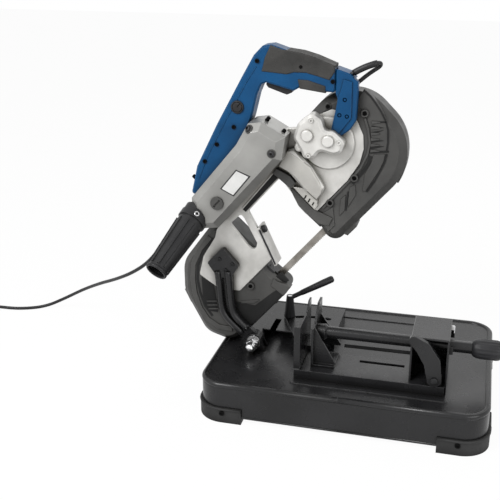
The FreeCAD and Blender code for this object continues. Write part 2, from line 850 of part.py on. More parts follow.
# Cast frame: one plate with an open arm, a raised disc and a strut
def saw_frame(motor):
    plate = saw_plate(frame_shares, frame_near, frame_far, corner_radius)
    window = saw_plate(frame_window_shares, frame_near, frame_far, corner_radius)
    strut = saw_plate(strut_shares, frame_rib_near, frame_near, strut_round)
    strut = strut.makeChamfer(strut_bevel, edges_at(strut, "y", frame_rib_near))
    disc_near = frame_near - disc_rise
    disc = saw_rod(ring_share, disc_near, frame_near, ring_radius_share * saw_reach)
    disc = disc.makeChamfer(rib_rise, edges_at(disc, "y", disc_near))
    shape = plate.cut(window).multiFuse([strut, disc])
    for wheel, radius in ((idler_share, axle_radius), (drive_share, axle_radius + running_fit)):
        shape = shape.cut(saw_rod((wheel, wheel_height_share), frame_near, frame_far, radius))
    return largest(shape.cut(motor))


def swing_arm():
    shape = saw_plate(arm_shares, arm_near, frame_near, corner_radius)
    shape = shape.fuse(rod(vec(0, arm_near, 0), along_y, frame_near - arm_near, ear_radius))
    shape = shape.cut(saw_plate(arm_slot_shares, arm_near, arm_near + arm_groove_depth))
    bore = rod(vec(0, arm_near, 0), along_y, frame_near - arm_near, hinge_bolt_radius + hinge_fit)
    return whole(shape.cut(bore))


def gear_cover(frame):
    shape = saw_plate(cover_shares, cover_near, frame_near, 2 * corner_radius)
    shape = shape.makeChamfer(cover_bevel, edges_at(shape, "y", cover_near))
    for u, v, radius_share in cover_boss_shares:
        boss = saw_rod((u, v), cover_near - boss_rise, frame_near, radius_share * saw_reach)
        boss = boss.makeChamfer(rib_width / 2, edges_at(boss, "y", cover_near - boss_rise))
        shape = shape.fuse(boss)
    return largest(shape.cut(frame))


def motor_housing():
    shape = saw_plate(motor_shares, motor_near, motor_far)
    return shape.makeChamfer(motor_bevel, edges_at(shape, "y", motor_near))


def brush_cap():
    near = motor_near - brush_cap_height
    cap = saw_rod(brush_cap_share, near, motor_near, brush_cap_radius)
    middle = at(brush_cap_share, near)
    reach = brush_slot_length / 2
    half = brush_slot_width / 2
    slot = box(
        middle.x - reach, middle.x + reach, near, near + brush_slot_depth, middle.z - half, middle.z + half
    )
    return cap.cut(slot)


# Wheel guards: bevelled tubs, open on the far side
def tub(outline, near, far, bevel):
    outer = outline.extrude(vec(0, far - near, 0))
    outer = outer.makeChamfer(bevel, edges_at(outer, "y", near))
    offsets = [outline.makeOffset2D(side * guard_wall) for side in (-1, 1)]
    inset = min(offsets, key=lambda face: face.Area)
    inset.translate(vec(0, guard_wall, 0))
    inner = inset.extrude(vec(0, far - near, 0))
    inner = inner.makeChamfer(bevel, edges_at(inner, "y", near + guard_wall))
    return outer.cut(inner)


def guard_outline(corner_shares):
    points = [at(share, guard_near) for share in corner_shares]
    radii = [share[2] * saw_reach for share in corner_shares]
    return Part.Face(rounded_wire(points, radii))


def blade_ways():
    # Passages for the cutting run and the return run
    half = blade_width * way_width_share
    low = blade_height_share * saw_reach
    high = wheel_height_share * saw_reach + wheel_radius
    first = idler_share * saw_reach + wheel_radius * way_start_share
    last = drive_share * saw_reach - wheel_radius * way_start_share
    cutting = box(first, last, -half, half, low - blade_width, low + half)
    returning = box(first, last, -half, half, high - half, high + half)
    return [cutting, returning]


def guard_rib(part_way):
    # Wedge that points outward, lying on the flat of the guard
    ends = []
    for first, last in (guard_rib_inner_shares, guard_rib_outer_shares):
        start = at(first, guard_near - rib_rise)
        ends.append(start + (at(last, guard_near - rib_rise) - start) * part_way)
    line = ends[1] - ends[0]
    side = vec(-line.z, 0, line.x).normalize()
    base = side * (guard_rib_base / 2)
    tip = side * (guard_rib_tip / 2)
    return slab([ends[0] - base, ends[1] - tip, ends[1] + tip, ends[0] + base], vec(0, rib_rise + guard_wall, 0))


def guard_boss(share):
    return saw_rod(share, guard_near - guard_boss_rise, guard_near + guard_wall, guard_boss_radius)


def front_guard(frame, guide):
    shape = tub(guard_outline(front_guard_shares), guard_near, guard_far, front_guard_bevel)
    details = [guard_rib(i / (guard_ribs - 1)) for i in range(guard_ribs)]
    details += [guard_boss(share) for share in guard_screw_shares if share[0] > cut_end_share]
    shape = shape.multiFuse(details).cut(frame)
    return largest(shape.cut(guide).cut(Part.makeCompound(blade_ways())))


def rear_guard(frame, guide):
    shape = tub(guard_outline(rear_guard_shares), guard_near, guard_far, guard_bevel)
    bosses = [guard_boss(share) for share in guard_screw_shares if share[0] < cut_end_share]
    shape = shape.multiFuse(bosses).cut(frame)
    return largest(shape.cut(guide).cut(Part.makeCompound(blade_ways())))


def return_guard():
    start = return_guard_span_shares[0] * saw_reach
    end = return_guard_span_shares[1] * saw_reach
    low = return_guard_low_share * saw_reach
    floor_strip = box(start, end, frame_far, return_guard_far, low, low + return_guard_sheet)
    lip_near = return_guard_far - return_guard_sheet
    lip = box(start, end, lip_near, return_guard_far, low, low + return_guard_rise)
    return whole(floor_strip.fuse(lip))


# Blade guide: slotted block carried by a tab on the back of the frame
def guide(start):
    low = blade_height_share * saw_reach - blade_width * guide_cover_share
    middle = low + guide_rise
    end = start + guide_length
    block = box(start, end, -guide_half_width, guide_half_width, low, middle)
    tab = box(start, end, frame_far, -guide_half_width, middle - guide_length, low + guide_tab_rise)
    slot_top = blade_height_share * saw_reach + blade_width / 2 + guide_slot / 2
    slot = box(start, end, -guide_slot / 2, guide_slot / 2, low, slot_top)
    return whole(block.fuse(tab).cut(slot))


def work_stop(frame):
    return whole(saw_plate(stop_shares, frame_near, stop_far).cut(frame))


def stop_knob():
    face_low = at(stop_shares[2], 0)
    face_high = at(stop_shares[3], 0)
    along = face_high - face_low
    out = vec(along.z, 0, -along.x).normalize()
    spot = face_low + along * knob_place_share + vec(0, stop_knob_y, 0)
    knob = rod(spot, out, stop_knob_radius, stop_knob_radius)
    return knob.makeChamfer(rib_width / 2, [knob.Edges[0]])


motor_shape = motor_housing()
frame_shape = saw_frame(motor_shape)
rear_guide_shape = guide(cut_start_share * saw_reach)
front_guide_shape = guide(cut_end_share * saw_reach - guide_length)
save_saw("saw_frame", frame_shape)
save_saw("swing_arm", swing_arm())
cover_shape = gear_cover(frame_shape)
save_saw("gear_cover", cover_shape)
save_saw("motor_housing", motor_shape)
save_saw("brush_cap", brush_cap())
save_saw("front_guard", front_guard(frame_shape, front_guide_shape))
save_saw("rear_guard", rear_guard(frame_shape, rear_guide_shape))
save_saw("return_guard", return_guard())
save_saw("rear_guide", rear_guide_shape)
save_saw("front_guide", front_guide_shape)
save_saw("work_stop", work_stop(frame_shape))
save_saw("stop_knob", stop_knob())


# Wheels with rubber tyres; the drive wheel turns with its shaft, the idler on a fixed axle
def wheel(middle, bore):
    rim_radius = wheel_radius - tyre_gap - tyre_thickness
    near = vec(middle.x, -wheel_width / 2, middle.z)
    web_start = vec(middle.x, -wheel_web / 2, middle.z)
    rim = rod(near, along_y, wheel_width, rim_radius).cut(rod(near, along_y, wheel_width, rim_radius - wheel_rim))
    web = rod(web_start, along_y, wheel_web, rim_radius)
    for i in range(wheel_holes):
        angle = 2 * math.pi * i / wheel_holes
        reach = (rim_radius - wheel_rim + hub_radius) / 2
        spot = web_start + vec(reach * math.cos(angle), 0, reach * math.sin(angle))
        web = web.cut(rod(spot, along_y, wheel_web, hub_radius * wheel_hole_share))
    hub = rod(near, along_y, wheel_width, hub_radius)
    shape = rim.multiFuse([web, hub])
    return whole(shape.cut(rod(near, along_y, wheel_width, bore)))


def drive_wheel():
    start = vec(drive_centre.x, frame_near, drive_centre.z)
    shaft = rod(start, along_y, wheel_width / 2 - frame_near, axle_radius)
    return whole(wheel(drive_centre, axle_radius).fuse(shaft))


def tyre(middle):
    outer = wheel_radius - tyre_gap
    near = vec(middle.x, -wheel_width / 2, middle.z)
    ring = rod(near, along_y, wheel_width, outer)
    return ring.cut(rod(near, along_y, wheel_width, outer - tyre_thickness))


def idler_axle():
    start = vec(idler_centre.x, frame_near, idler_centre.z)
    end = wheel_width / 2 + axle_gap
    shaft = rod(start, along_y, end - frame_near, axle_radius)
    collar = rod(vec(idler_centre.x, end, idler_centre.z), along_y, rib_width, axle_radius + rib_width)
    return whole(shaft.fuse(collar))


# Blade: one closed loop, flat on the wheels and turned on edge between the guides
def blade_section(place, height, turn):
    # Four corners of the strip; the toothed edge is far on the wheels and low in the cut
    middle = vec(place, 0, height)
    across = vec(0, math.cos(turn), -math.sin(turn)) * (blade_width / 2)
    through = vec(0, math.sin(turn), math.cos(turn)) * (blade_thickness / 2)
    return [middle + across + through, middle - across + through, middle - across - through, middle + across - through]


def skin(sections):
    # Closed solid of flat triangles along a row of four-cornered sections
    faces = [Part.Face(rounded_wire(sections[0], 0)), Part.Face(rounded_wire(sections[-1], 0))]
    for before, after in zip(sections[:-1], sections[1:]):
        for i in range(4):
            j = (i + 1) % 4
            faces.append(Part.Face(rounded_wire([before[i], before[j], after[j]], 0)))
            faces.append(Part.Face(rounded_wire([before[i], after[j], after[i]], 0)))
    shell = Part.makeShell(faces)
    solid = Part.makeSolid(shell)
    if solid.Volume < 0:
        solid.reverse()
    return solid


def twist(wheel_place, guide_place):
    low = wheel_height_share * saw_reach - wheel_radius - blade_thickness / 2
    high = blade_height_share * saw_reach
    sections = []
    for i in range(twist_steps + 1):
        part_way = i / twist_steps
        place = wheel_place + (guide_place - wheel_place) * part_way
        turned = part_way * part_way
        sections.append(blade_section(place, low + (high - low) * turned, math.pi / 2 * turned))
    return skin(sections)


def toothed_run(start, end):
    low = blade_height_share * saw_reach - blade_width / 2
    top = low + blade_width
    count = round((end - start) / tooth_pitch)
    pitch = (end - start) / count
    points = [vec(end, -blade_thickness / 2, top), vec(start, -blade_thickness / 2, top)]
    for i in range(count):
        place = start + i * pitch
        points.append(vec(place, -blade_thickness / 2, low))
        points.append(vec(place + pitch * tooth_back_share, -blade_thickness / 2, low + tooth_depth))
    points.append(vec(end, -blade_thickness / 2, low))
    return slab(points, vec(0, blade_thickness, 0))


def half_band(middle, start_turn):
    near = vec(middle.x, -blade_width / 2, middle.z)
    outer = Part.makeCylinder(wheel_radius + blade_thickness, blade_width, near, along_y, 180)
    inner = rod(near, along_y, blade_width, wheel_radius)
    band = outer.cut(inner)
    band.rotate(middle, along_y, start_turn)
    return band


def blade():
    start = cut_start_share * saw_reach
    end = cut_end_share * saw_reach
    top = wheel_height_share * saw_reach + wheel_radius
    half = blade_width / 2
    pieces = [
        half_band(drive_centre, 0),
        box(idler_centre.x, drive_centre.x, -half, half, top, top + blade_thickness),
        twist(idler_centre.x, start),
        twist(drive_centre.x, end),
        toothed_run(start, end),
    ]
    loop = half_band(idler_centre, 180).multiFuse(pieces)
    return whole(loop)


save_saw("drive_wheel", drive_wheel())
save_saw("drive_tyre", tyre(drive_centre))
save_saw("idler_wheel", wheel(idler_centre, axle_radius + running_fit))
save_saw("idler_tyre", tyre(idler_centre))
save_saw("idler_axle", idler_axle())
blade_shape = blade()
save_saw("blade", blade_shape)


# Handle in two shells round the trigger, with a rubber grip cover
def trigger_points(y):
    # Local outline: along the grip, then outward through it
    lean = math.radians(trigger_lean)
    along = vec(math.cos(lean), 0, math.sin(lean))
    out = vec(-along.z, 0, along.x)
    middle = at(trigger_spot_share, y)
    return [middle + along * (t * saw_reach) + out * (n * saw_reach) for t, n in trigger_shares], along, out


def trigger():
    points = trigger_points(trigger_y - trigger_half_width)[0]
    return slab(points, vec(0, 2 * trigger_half_width, 0), rib_width)


def trigger_pocket():
    # Room for the trigger through its whole travel
    points, along, out = trigger_points(trigger_y - trigger_half_width - trigger_room)
    depth = trigger_travel + trigger_room
    room = along * trigger_room
    corners = [points[0] - room, points[1] - room, points[4] + room, points[5] + room]
    corners[0] = corners[0] + out * depth
    corners[3] = corners[3] + out * depth
    return slab(corners, vec(0, 2 * (trigger_half_width + trigger_room), 0))


def handle_shell(near, far, outside, motor):
    shape = saw_plate(handle_shares, near, far, corner_radius)
    shape = shape.makeChamfer(handle_round - rib_rise, edges_at(shape, "y", outside))
    return largest(shape.cut(motor).cut(trigger_pocket()))


def grip_cover(shells):
    # Rubber over both sides and the outer edge of the grip, and a strip along its inner edge
    near = handle_near - grip_skin
    far = handle_far + grip_skin
    wraps = [saw_plate(grip_shares, near, far, corner_radius), saw_plate(grip_strip_shares, near, far, rib_width)]
    sides = []
    for wrap in wraps:
        for shell in shells:
            wrap = wrap.cut(shell)
        sides += [solid for solid in wrap.cut(trigger_pocket()).Solids if solid.Volume > saw_reach]
    return Part.makeCompound(sides)


def handle_bracket(cover, frame, shells):
    foot_plate = saw_plate(bracket_shares, handle_near, bracket_blue_far, rib_width)
    foot_plate = foot_plate.makeChamfer(rib_rise, edges_at(foot_plate, "y", handle_near))
    tip = saw_plate(bracket_tip_shares, bracket_blue_far, handle_far)
    shape = foot_plate.fuse(tip).cut(cover).cut(frame)
    for shell in shells:
        shape = shape.cut(shell)
    return largest(shape)


def bent_rod(points, radius):
    # Round rod along straight runs joined by tangent arcs
    edges = []
    bend_radii = []
    last = points[0]
    for i in range(1, len(points) - 1):
        back = points[i - 1] - points[i]
        ahead = points[i + 1] - points[i]
        half_angle = back.getAngle(ahead) / 2
        reach = corner_share * min(back.Length, ahead.Length)
        back.normalize()
        ahead.normalize()
        middle = (back + ahead).normalize()
        depth = reach * (1 - math.sin(half_angle)) / math.cos(half_angle)
        bend_radii.append(reach * math.tan(half_angle))
        start = points[i] + back * reach
        end = points[i] + ahead * reach
        edges.append(Part.LineSegment(last, start).toShape())
        edges.append(Part.Arc(start, points[i] + middle * depth, end).toShape())
        last = end
    edges.append(Part.LineSegment(last, points[-1]).toShape())
    path = Part.Wire(edges)
    circle = Part.makeCircle(radius, points[0], points[1] - points[0])
    return path.makePipeShell([Part.Wire(circle)], True, False), path.Length, bend_radii


def hook(block):
    loop = bent_rod([at(share, hook_y) for share in hook_shares], hook_radius)[0]
    return largest(loop.cut(block))


# Rear boot: tapered open tube with a collar at the motor and ribs along it
def boot_rib(start, line, turn):
    ahead = vec(line.x, line.y, line.z).normalize()
    side = FreeCAD.Rotation(ahead, turn).multVec(along_y.cross(ahead).normalize())
    across = ahead.cross(side) * boot_rib_width
    low = []
    for part_way in boot_rib_span_shares:
        radius = boot_wide + (boot_narrow - boot_wide) * part_way
        low.append(start + line * part_way + side * (radius - boot_wall / 2) - across / 2)
    rise = side * (boot_wall / 2 + rib_rise)
    return slab([low[0], low[1], low[1] + rise, low[0] + rise], across)


def boot(motor):
    start = at(boot_start_share, boot_y)
    line = at(boot_end_share, boot_end_y) - start
    outer = Part.makeCone(boot_wide, boot_narrow, line.Length, start, line)
    collar = rod(start + line * boot_collar_share, line, line.Length * boot_collar_share, boot_wide + boot_wall / 2)
    ribs = [boot_rib(start, line, 360 * i / boot_ribs) for i in range(boot_ribs)]
    inside = line * boot_depth_share
    bore = Part.makeCone(
        boot_wide - boot_wall - rib_rise, boot_narrow - boot_wall, line.Length - inside.Length, start + inside, line
    )
    return largest(outer.multiFuse([collar] + ribs).cut(bore).cut(motor))


def speed_dial():
    near = handle_near - dial_gap - dial_height
    dial = saw_rod(dial_share, near, near + dial_height, dial_radius)
    middle = at(dial_share, near)
    half = dial_mark_width / 2
    mark = box(
        middle.x, middle.x + dial_radius, near, near + dial_mark_depth, middle.z - half, middle.z + half
    )
    return dial.makeChamfer(dial_bevel, edges_at(dial, "y", near)).cut(mark)


def heads(shares, y):
    toward = vec(0, -1, 0)
    spots = [at(share, y) for share in shares]
    return [screw_head(spot, toward, screw_head_radius, screw_head_height) for spot in spots]


near_shell = handle_shell(handle_near, handle_split, handle_near, motor_shape)
far_shell = handle_shell(handle_split, handle_far, handle_far, motor_shape)
bracket_shape = handle_bracket(cover_shape, frame_shape, [near_shell, far_shell])
save_saw("handle_near_shell", near_shell)
save_saw("handle_far_shell", far_shell)
grip_shape = grip_cover([near_shell, far_shell])
save_saw("grip_cover", grip_shape)
save_saw("handle_bracket", bracket_shape)
save_saw("hook", hook(bracket_shape))
save_saw("boot", boot(motor_shape))
save_saw("trigger", trigger())
save_saw("speed_dial", speed_dial())
save_saw("handle_screws", Part.makeCompound(
    heads(handle_screw_shares, handle_near) + heads(bracket_screw_shares, handle_near)))
save_saw("arm_screws", Part.makeCompound(heads(arm_screw_shares, arm_near)))
save_saw("cover_screws", Part.makeCompound(heads(cover_screw_shares, cover_near)))
save_saw("guard_screws", Part.makeCompound(heads(guard_screw_shares, guard_near - guard_boss_rise)))


# Cord: out of the motor's rear end, behind the boot, down to the floor and away to a coil with the plug
def relief():
    face_low = at(motor_shares[7], relief_y)
    face_high = at(motor_shares[8], relief_y)
    along = face_high - face_low
    out = vec(-along.z, 0, along.x).normalize()
    start = at(relief_share, relief_y) - out * relief_length
    body = Part.makeCone(relief_radius, cord_diameter * cord_grip_share, 2 * relief_length, start, out)
    return largest(body.cut(motor_shape)), start + out * (2 * relief_length)


def coil():
    # Turns lying close in pairs, one layer on another, as one ring with rounded edges
    outer = coil_turn_radius + cord_diameter
    low = vec(coil_x, coil_y, floor_height - cord_diameter / 2)
    height = coil_layers * cord_diameter
    ring = rod(low, along_z, height, outer).cut(rod(low, along_z, height, coil_turn_radius - cord_diameter))
    return ring.makeFillet(coil_edge_radius, edges_at(ring, "z", low.z) + edges_at(ring, "z", low.z + height))


def plug(turns):
    # Two-pin plug lying beside the coil, in line with its last turn
    outer = coil_turn_radius + cord_diameter
    reach = math.sqrt(outer ** 2 - coil_turn_radius ** 2)
    start = vec(coil_x - coil_turn_radius, coil_y - reach, floor_height + plug_radius - cord_diameter / 2)
    away = vec(0, -1, 0)
    sleeve = Part.makeCone(cord_diameter * cord_grip_share, plug_radius * lever_taper_share, plug_length / 2, start, away)
    body = rod(start + away * (plug_length / 2), away, plug_length / 2, plug_radius)
    body = body.makeChamfer(rib_width, edges_at(body, "y", start.y - plug_length))
    pieces = [body]
    for side in (-1, 1):
        spot = start + away * plug_length + vec(side * plug_pin_gap / 2, 0, 0)
        pieces.append(rod(spot, away, plug_pin_length, plug_pin_radius))
    return largest(sleeve.multiFuse(pieces).cut(turns))


relief_shape, cord_exit = relief()
exit_mark = tilt_up(Part.Vertex(cord_exit)).Point
coil_shape = coil()
lead_shape, lead_length, lead_bends = bent_rod([exit_mark] + [vec(*point) for point in cord_route], cord_diameter / 2)
print("cord exit", exit_mark, "lead length", lead_length, "least bend radius", min(lead_bends))
print("lead volume", lead_shape.Volume, "section by length", math.pi * cord_diameter ** 2 / 4 * lead_length)
save_saw("strain_relief", relief_shape)
save("cord_lead", largest(lead_shape.cut(coil_shape).cut(tilt_up(relief_shape))))
save("cord_coil", coil_shape)
save("plug", plug(coil_shape))
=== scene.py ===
import json
import math
import bmesh
import bpy
from mathutils import Matrix, Vector

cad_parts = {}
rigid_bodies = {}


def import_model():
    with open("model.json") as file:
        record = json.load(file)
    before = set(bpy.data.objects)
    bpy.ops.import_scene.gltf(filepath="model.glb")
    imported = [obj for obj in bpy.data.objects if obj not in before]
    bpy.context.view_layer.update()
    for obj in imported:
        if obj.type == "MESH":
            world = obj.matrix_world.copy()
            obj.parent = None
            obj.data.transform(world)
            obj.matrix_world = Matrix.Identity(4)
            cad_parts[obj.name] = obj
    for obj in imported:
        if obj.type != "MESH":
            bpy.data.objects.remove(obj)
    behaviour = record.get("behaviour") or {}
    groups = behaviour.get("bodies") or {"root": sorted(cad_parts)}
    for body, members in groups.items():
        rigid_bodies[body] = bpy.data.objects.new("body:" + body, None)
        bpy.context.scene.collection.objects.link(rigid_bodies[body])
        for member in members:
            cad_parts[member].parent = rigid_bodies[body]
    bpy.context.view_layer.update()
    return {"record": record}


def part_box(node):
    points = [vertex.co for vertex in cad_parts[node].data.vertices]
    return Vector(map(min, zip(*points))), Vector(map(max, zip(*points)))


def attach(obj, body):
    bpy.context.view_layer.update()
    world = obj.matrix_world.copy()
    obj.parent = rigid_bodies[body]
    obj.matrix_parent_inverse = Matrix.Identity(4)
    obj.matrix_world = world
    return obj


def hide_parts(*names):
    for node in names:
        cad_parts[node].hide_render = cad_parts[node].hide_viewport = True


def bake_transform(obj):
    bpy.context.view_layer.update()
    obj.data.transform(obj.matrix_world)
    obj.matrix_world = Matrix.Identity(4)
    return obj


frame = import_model()
scene = bpy.context.scene
scene.view_settings.view_transform = "Standard"
print("frame loaded")

# camera where the photograph was taken from
cameraSetup = {
    "place": (0.2336, -1.493, 0.825),
    "right": (0.9666, 0.2561, 0.0),
    "up": (-0.0887, 0.3347, 0.9381),
    "lens": 63.6,
    "sensor": 36,
    "farClip": 20,
}


def addCamera(setup):
    cameraData = bpy.data.cameras.new("photoCamera")
    cameraData.lens = setup["lens"]
    cameraData.sensor_width = setup["sensor"]
    cameraData.clip_end = setup["farClip"]
    camera = bpy.data.objects.new("photoCamera", cameraData)
    right = Vector(setup["right"]).normalized()
    up = Vector(setup["up"]).normalized()
    back = right.cross(up).normalized()
    up = back.cross(right)
    turn = Matrix((right, up, back)).transposed().to_4x4()
    camera.matrix_world = Matrix.Translation(setup["place"]) @ turn
    scene.collection.objects.link(camera)
    scene.camera = camera


addCamera(cameraSetup)
print("camera set")

# cord: the route of the lead, then the put-away turns of the coil, in metres from the middle of the base
cordSetup = {
    "diameter": 0.007,
    "sides": 12,
    "length": 1.83,
    "shiftX": 0.0406,  # from the middle of the base to the frame's origin
    "exit": (-0.302784, -0.022, 0.317510),
    "route": [
        (-0.325, -0.022, 0.3075),
        (-0.352, -0.015, 0.281),
        (-0.377, -0.002, 0.247),
        (-0.411, 0.010, 0.205),
        (-0.455, 0.030, 0.171),
        (-0.510, 0.070, 0.136),
        (-0.562, 0.115, 0.105),
        (-0.625, 0.160, 0.066),
        (-0.684, 0.184, 0.028),
        (-0.733, 0.176, 0.0039),
        (-0.784, 0.150, 0.0039),
        (-0.836, 0.148, 0.0039),
        (-0.868, 0.149, 0.0039),
    ],
    "coilMiddle": (-0.905, 0.113),
    "coilStep": 22.35,
    # degrees round, radius and height where the turns change lane or layer
    "coilKeys": [
        (78, 0.04205, 0.0039),
        (375, 0.04205, 0.0039),
        (435, 0.03495, 0.0039),
        (640, 0.03495, 0.0039),
        (740, 0.03495, 0.0110),
        (940, 0.03495, 0.0110),
        (1000, 0.04205, 0.0110),
        (1220, 0.04205, 0.0110),
        (1300, 0.04205, 0.0179),
        (1380, 0.03850, 0.0179),
        (1440, 0.03850, 0.0173),
        (1620, 0.03850, 0.0174),
    ],
    "tail": [(-0.9435, 0.104, 0.0174), (-0.9435, 0.089, 0.0174)],
    # where it starts to part from the saw, as a point of the path, and where it lies still
    "partsAt": 6,
    "liesAt": (-0.6194, 0.17, 0.04),
}
lineSetup = {"order": 3, "steps": 6}  # how smoothly a bent line follows its points


def coilPoints(setup):
    # control points lie a little outside the turn that the spline makes of them
    keys = setup["coilKeys"]
    middle = setup["coilMiddle"]
    outside = 8 / (6 + 2 * math.cos(math.radians(setup["coilStep"])))
    first, last = keys[0][0], keys[-1][0]
    count = round((last - first) / setup["coilStep"])
    points = []
    for i in range(count + 1):
        angle = first + (last - first) * i / count
        for before, after in zip(keys[:-1], keys[1:]):
            if before[0] <= angle <= after[0]:
                share = (angle - before[0]) / (after[0] - before[0])
                radius = (before[1] + (after[1] - before[1]) * share) * outside
                height = before[2] + (after[2] - before[2]) * share
        turn = math.radians(angle)
        points.append((middle[0] + radius * math.cos(turn), middle[1] + radius * math.sin(turn), height))
    return points


def bentLine(points):
    # smooth line led by the given points, as a row of close ones
    lineData = bpy.data.curves.new("bentLine", "CURVE")
    lineData.dimensions = "3D"
    lineData.resolution_u = lineSetup["steps"]
    spline = lineData.splines.new("NURBS")
    spline.points.add(len(points) - 1)
    for knot, point in zip(spline.points, points):
        knot.co = (*point, 1)
    spline.order_u = lineSetup["order"]
    spline.use_endpoint_u = True
    line = bpy.data.objects.new("bentLine", lineData)
    scene.collection.objects.link(line)
    bpy.context.view_layer.update()
    graph = bpy.context.evaluated_depsgraph_get()
    mesh = bpy.data.meshes.new_from_object(line.evaluated_get(graph))
    row = [vertex.co.copy() for vertex in mesh.vertices]
    bpy.data.meshes.remove(mesh)
    bpy.data.objects.remove(line)
    return row


def tubeAlong(name, points, radius, sides):
    # round tube with closed ends
    verts, faces = [], []
    last = len(points) - 1
    side = Vector((0, 0, 1)).cross(points[1] - points[0]).normalized()
    for i, point in enumerate(points):
        ahead = points[min(i + 1, last)] - points[max(i - 1, 0)]
        ahead.normalize()
        side = (side - ahead * side.dot(ahead)).normalized()
        other = ahead.cross(side)
        for j in range(sides):
            angle = 2 * math.pi * j / sides
            verts.append(point + (side * math.cos(angle) + other * math.sin(angle)) * radius)
    for i in range(last):
        for j in range(sides):
            k = (j + 1) % sides
            faces.append((i * sides + j, i * sides + k, (i + 1) * sides + k, (i + 1) * sides + j))
    faces.append(tuple(reversed(range(sides))))
    faces.append(tuple(last * sides + j for j in range(sides)))
    mesh = bpy.data.meshes.new(name)
    mesh.from_pydata(verts, [], faces)
    mesh.update()
    for polygon in mesh.polygons:
        polygon.use_smooth = len(polygon.vertices) == 4
    piece = bpy.data.objects.new(name, mesh)
    scene.collection.objects.link(piece)
    return piece


route = [cordSetup["exit"]] + cordSetup["route"] + coilPoints(cordSetup) + cordSetup["tail"]
cordPath = bentLine([(x + cordSetup["shiftX"], y, z) for x, y, z in route])
cordLength = sum((b - a).length for a, b in zip(cordPath[:-1], cordPath[1:]))
print("cord length", round(cordLength, 3))
cordTube = tubeAlong("cordTube", cordPath, cordSetup["diameter"] / 2, cordSetup["sides"])
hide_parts("cord_lead", "cord_coil")
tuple(cordPath[cordSetup["partsAt"]])
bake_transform(cordTube)
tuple(cordPath[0])
print("cord laid")

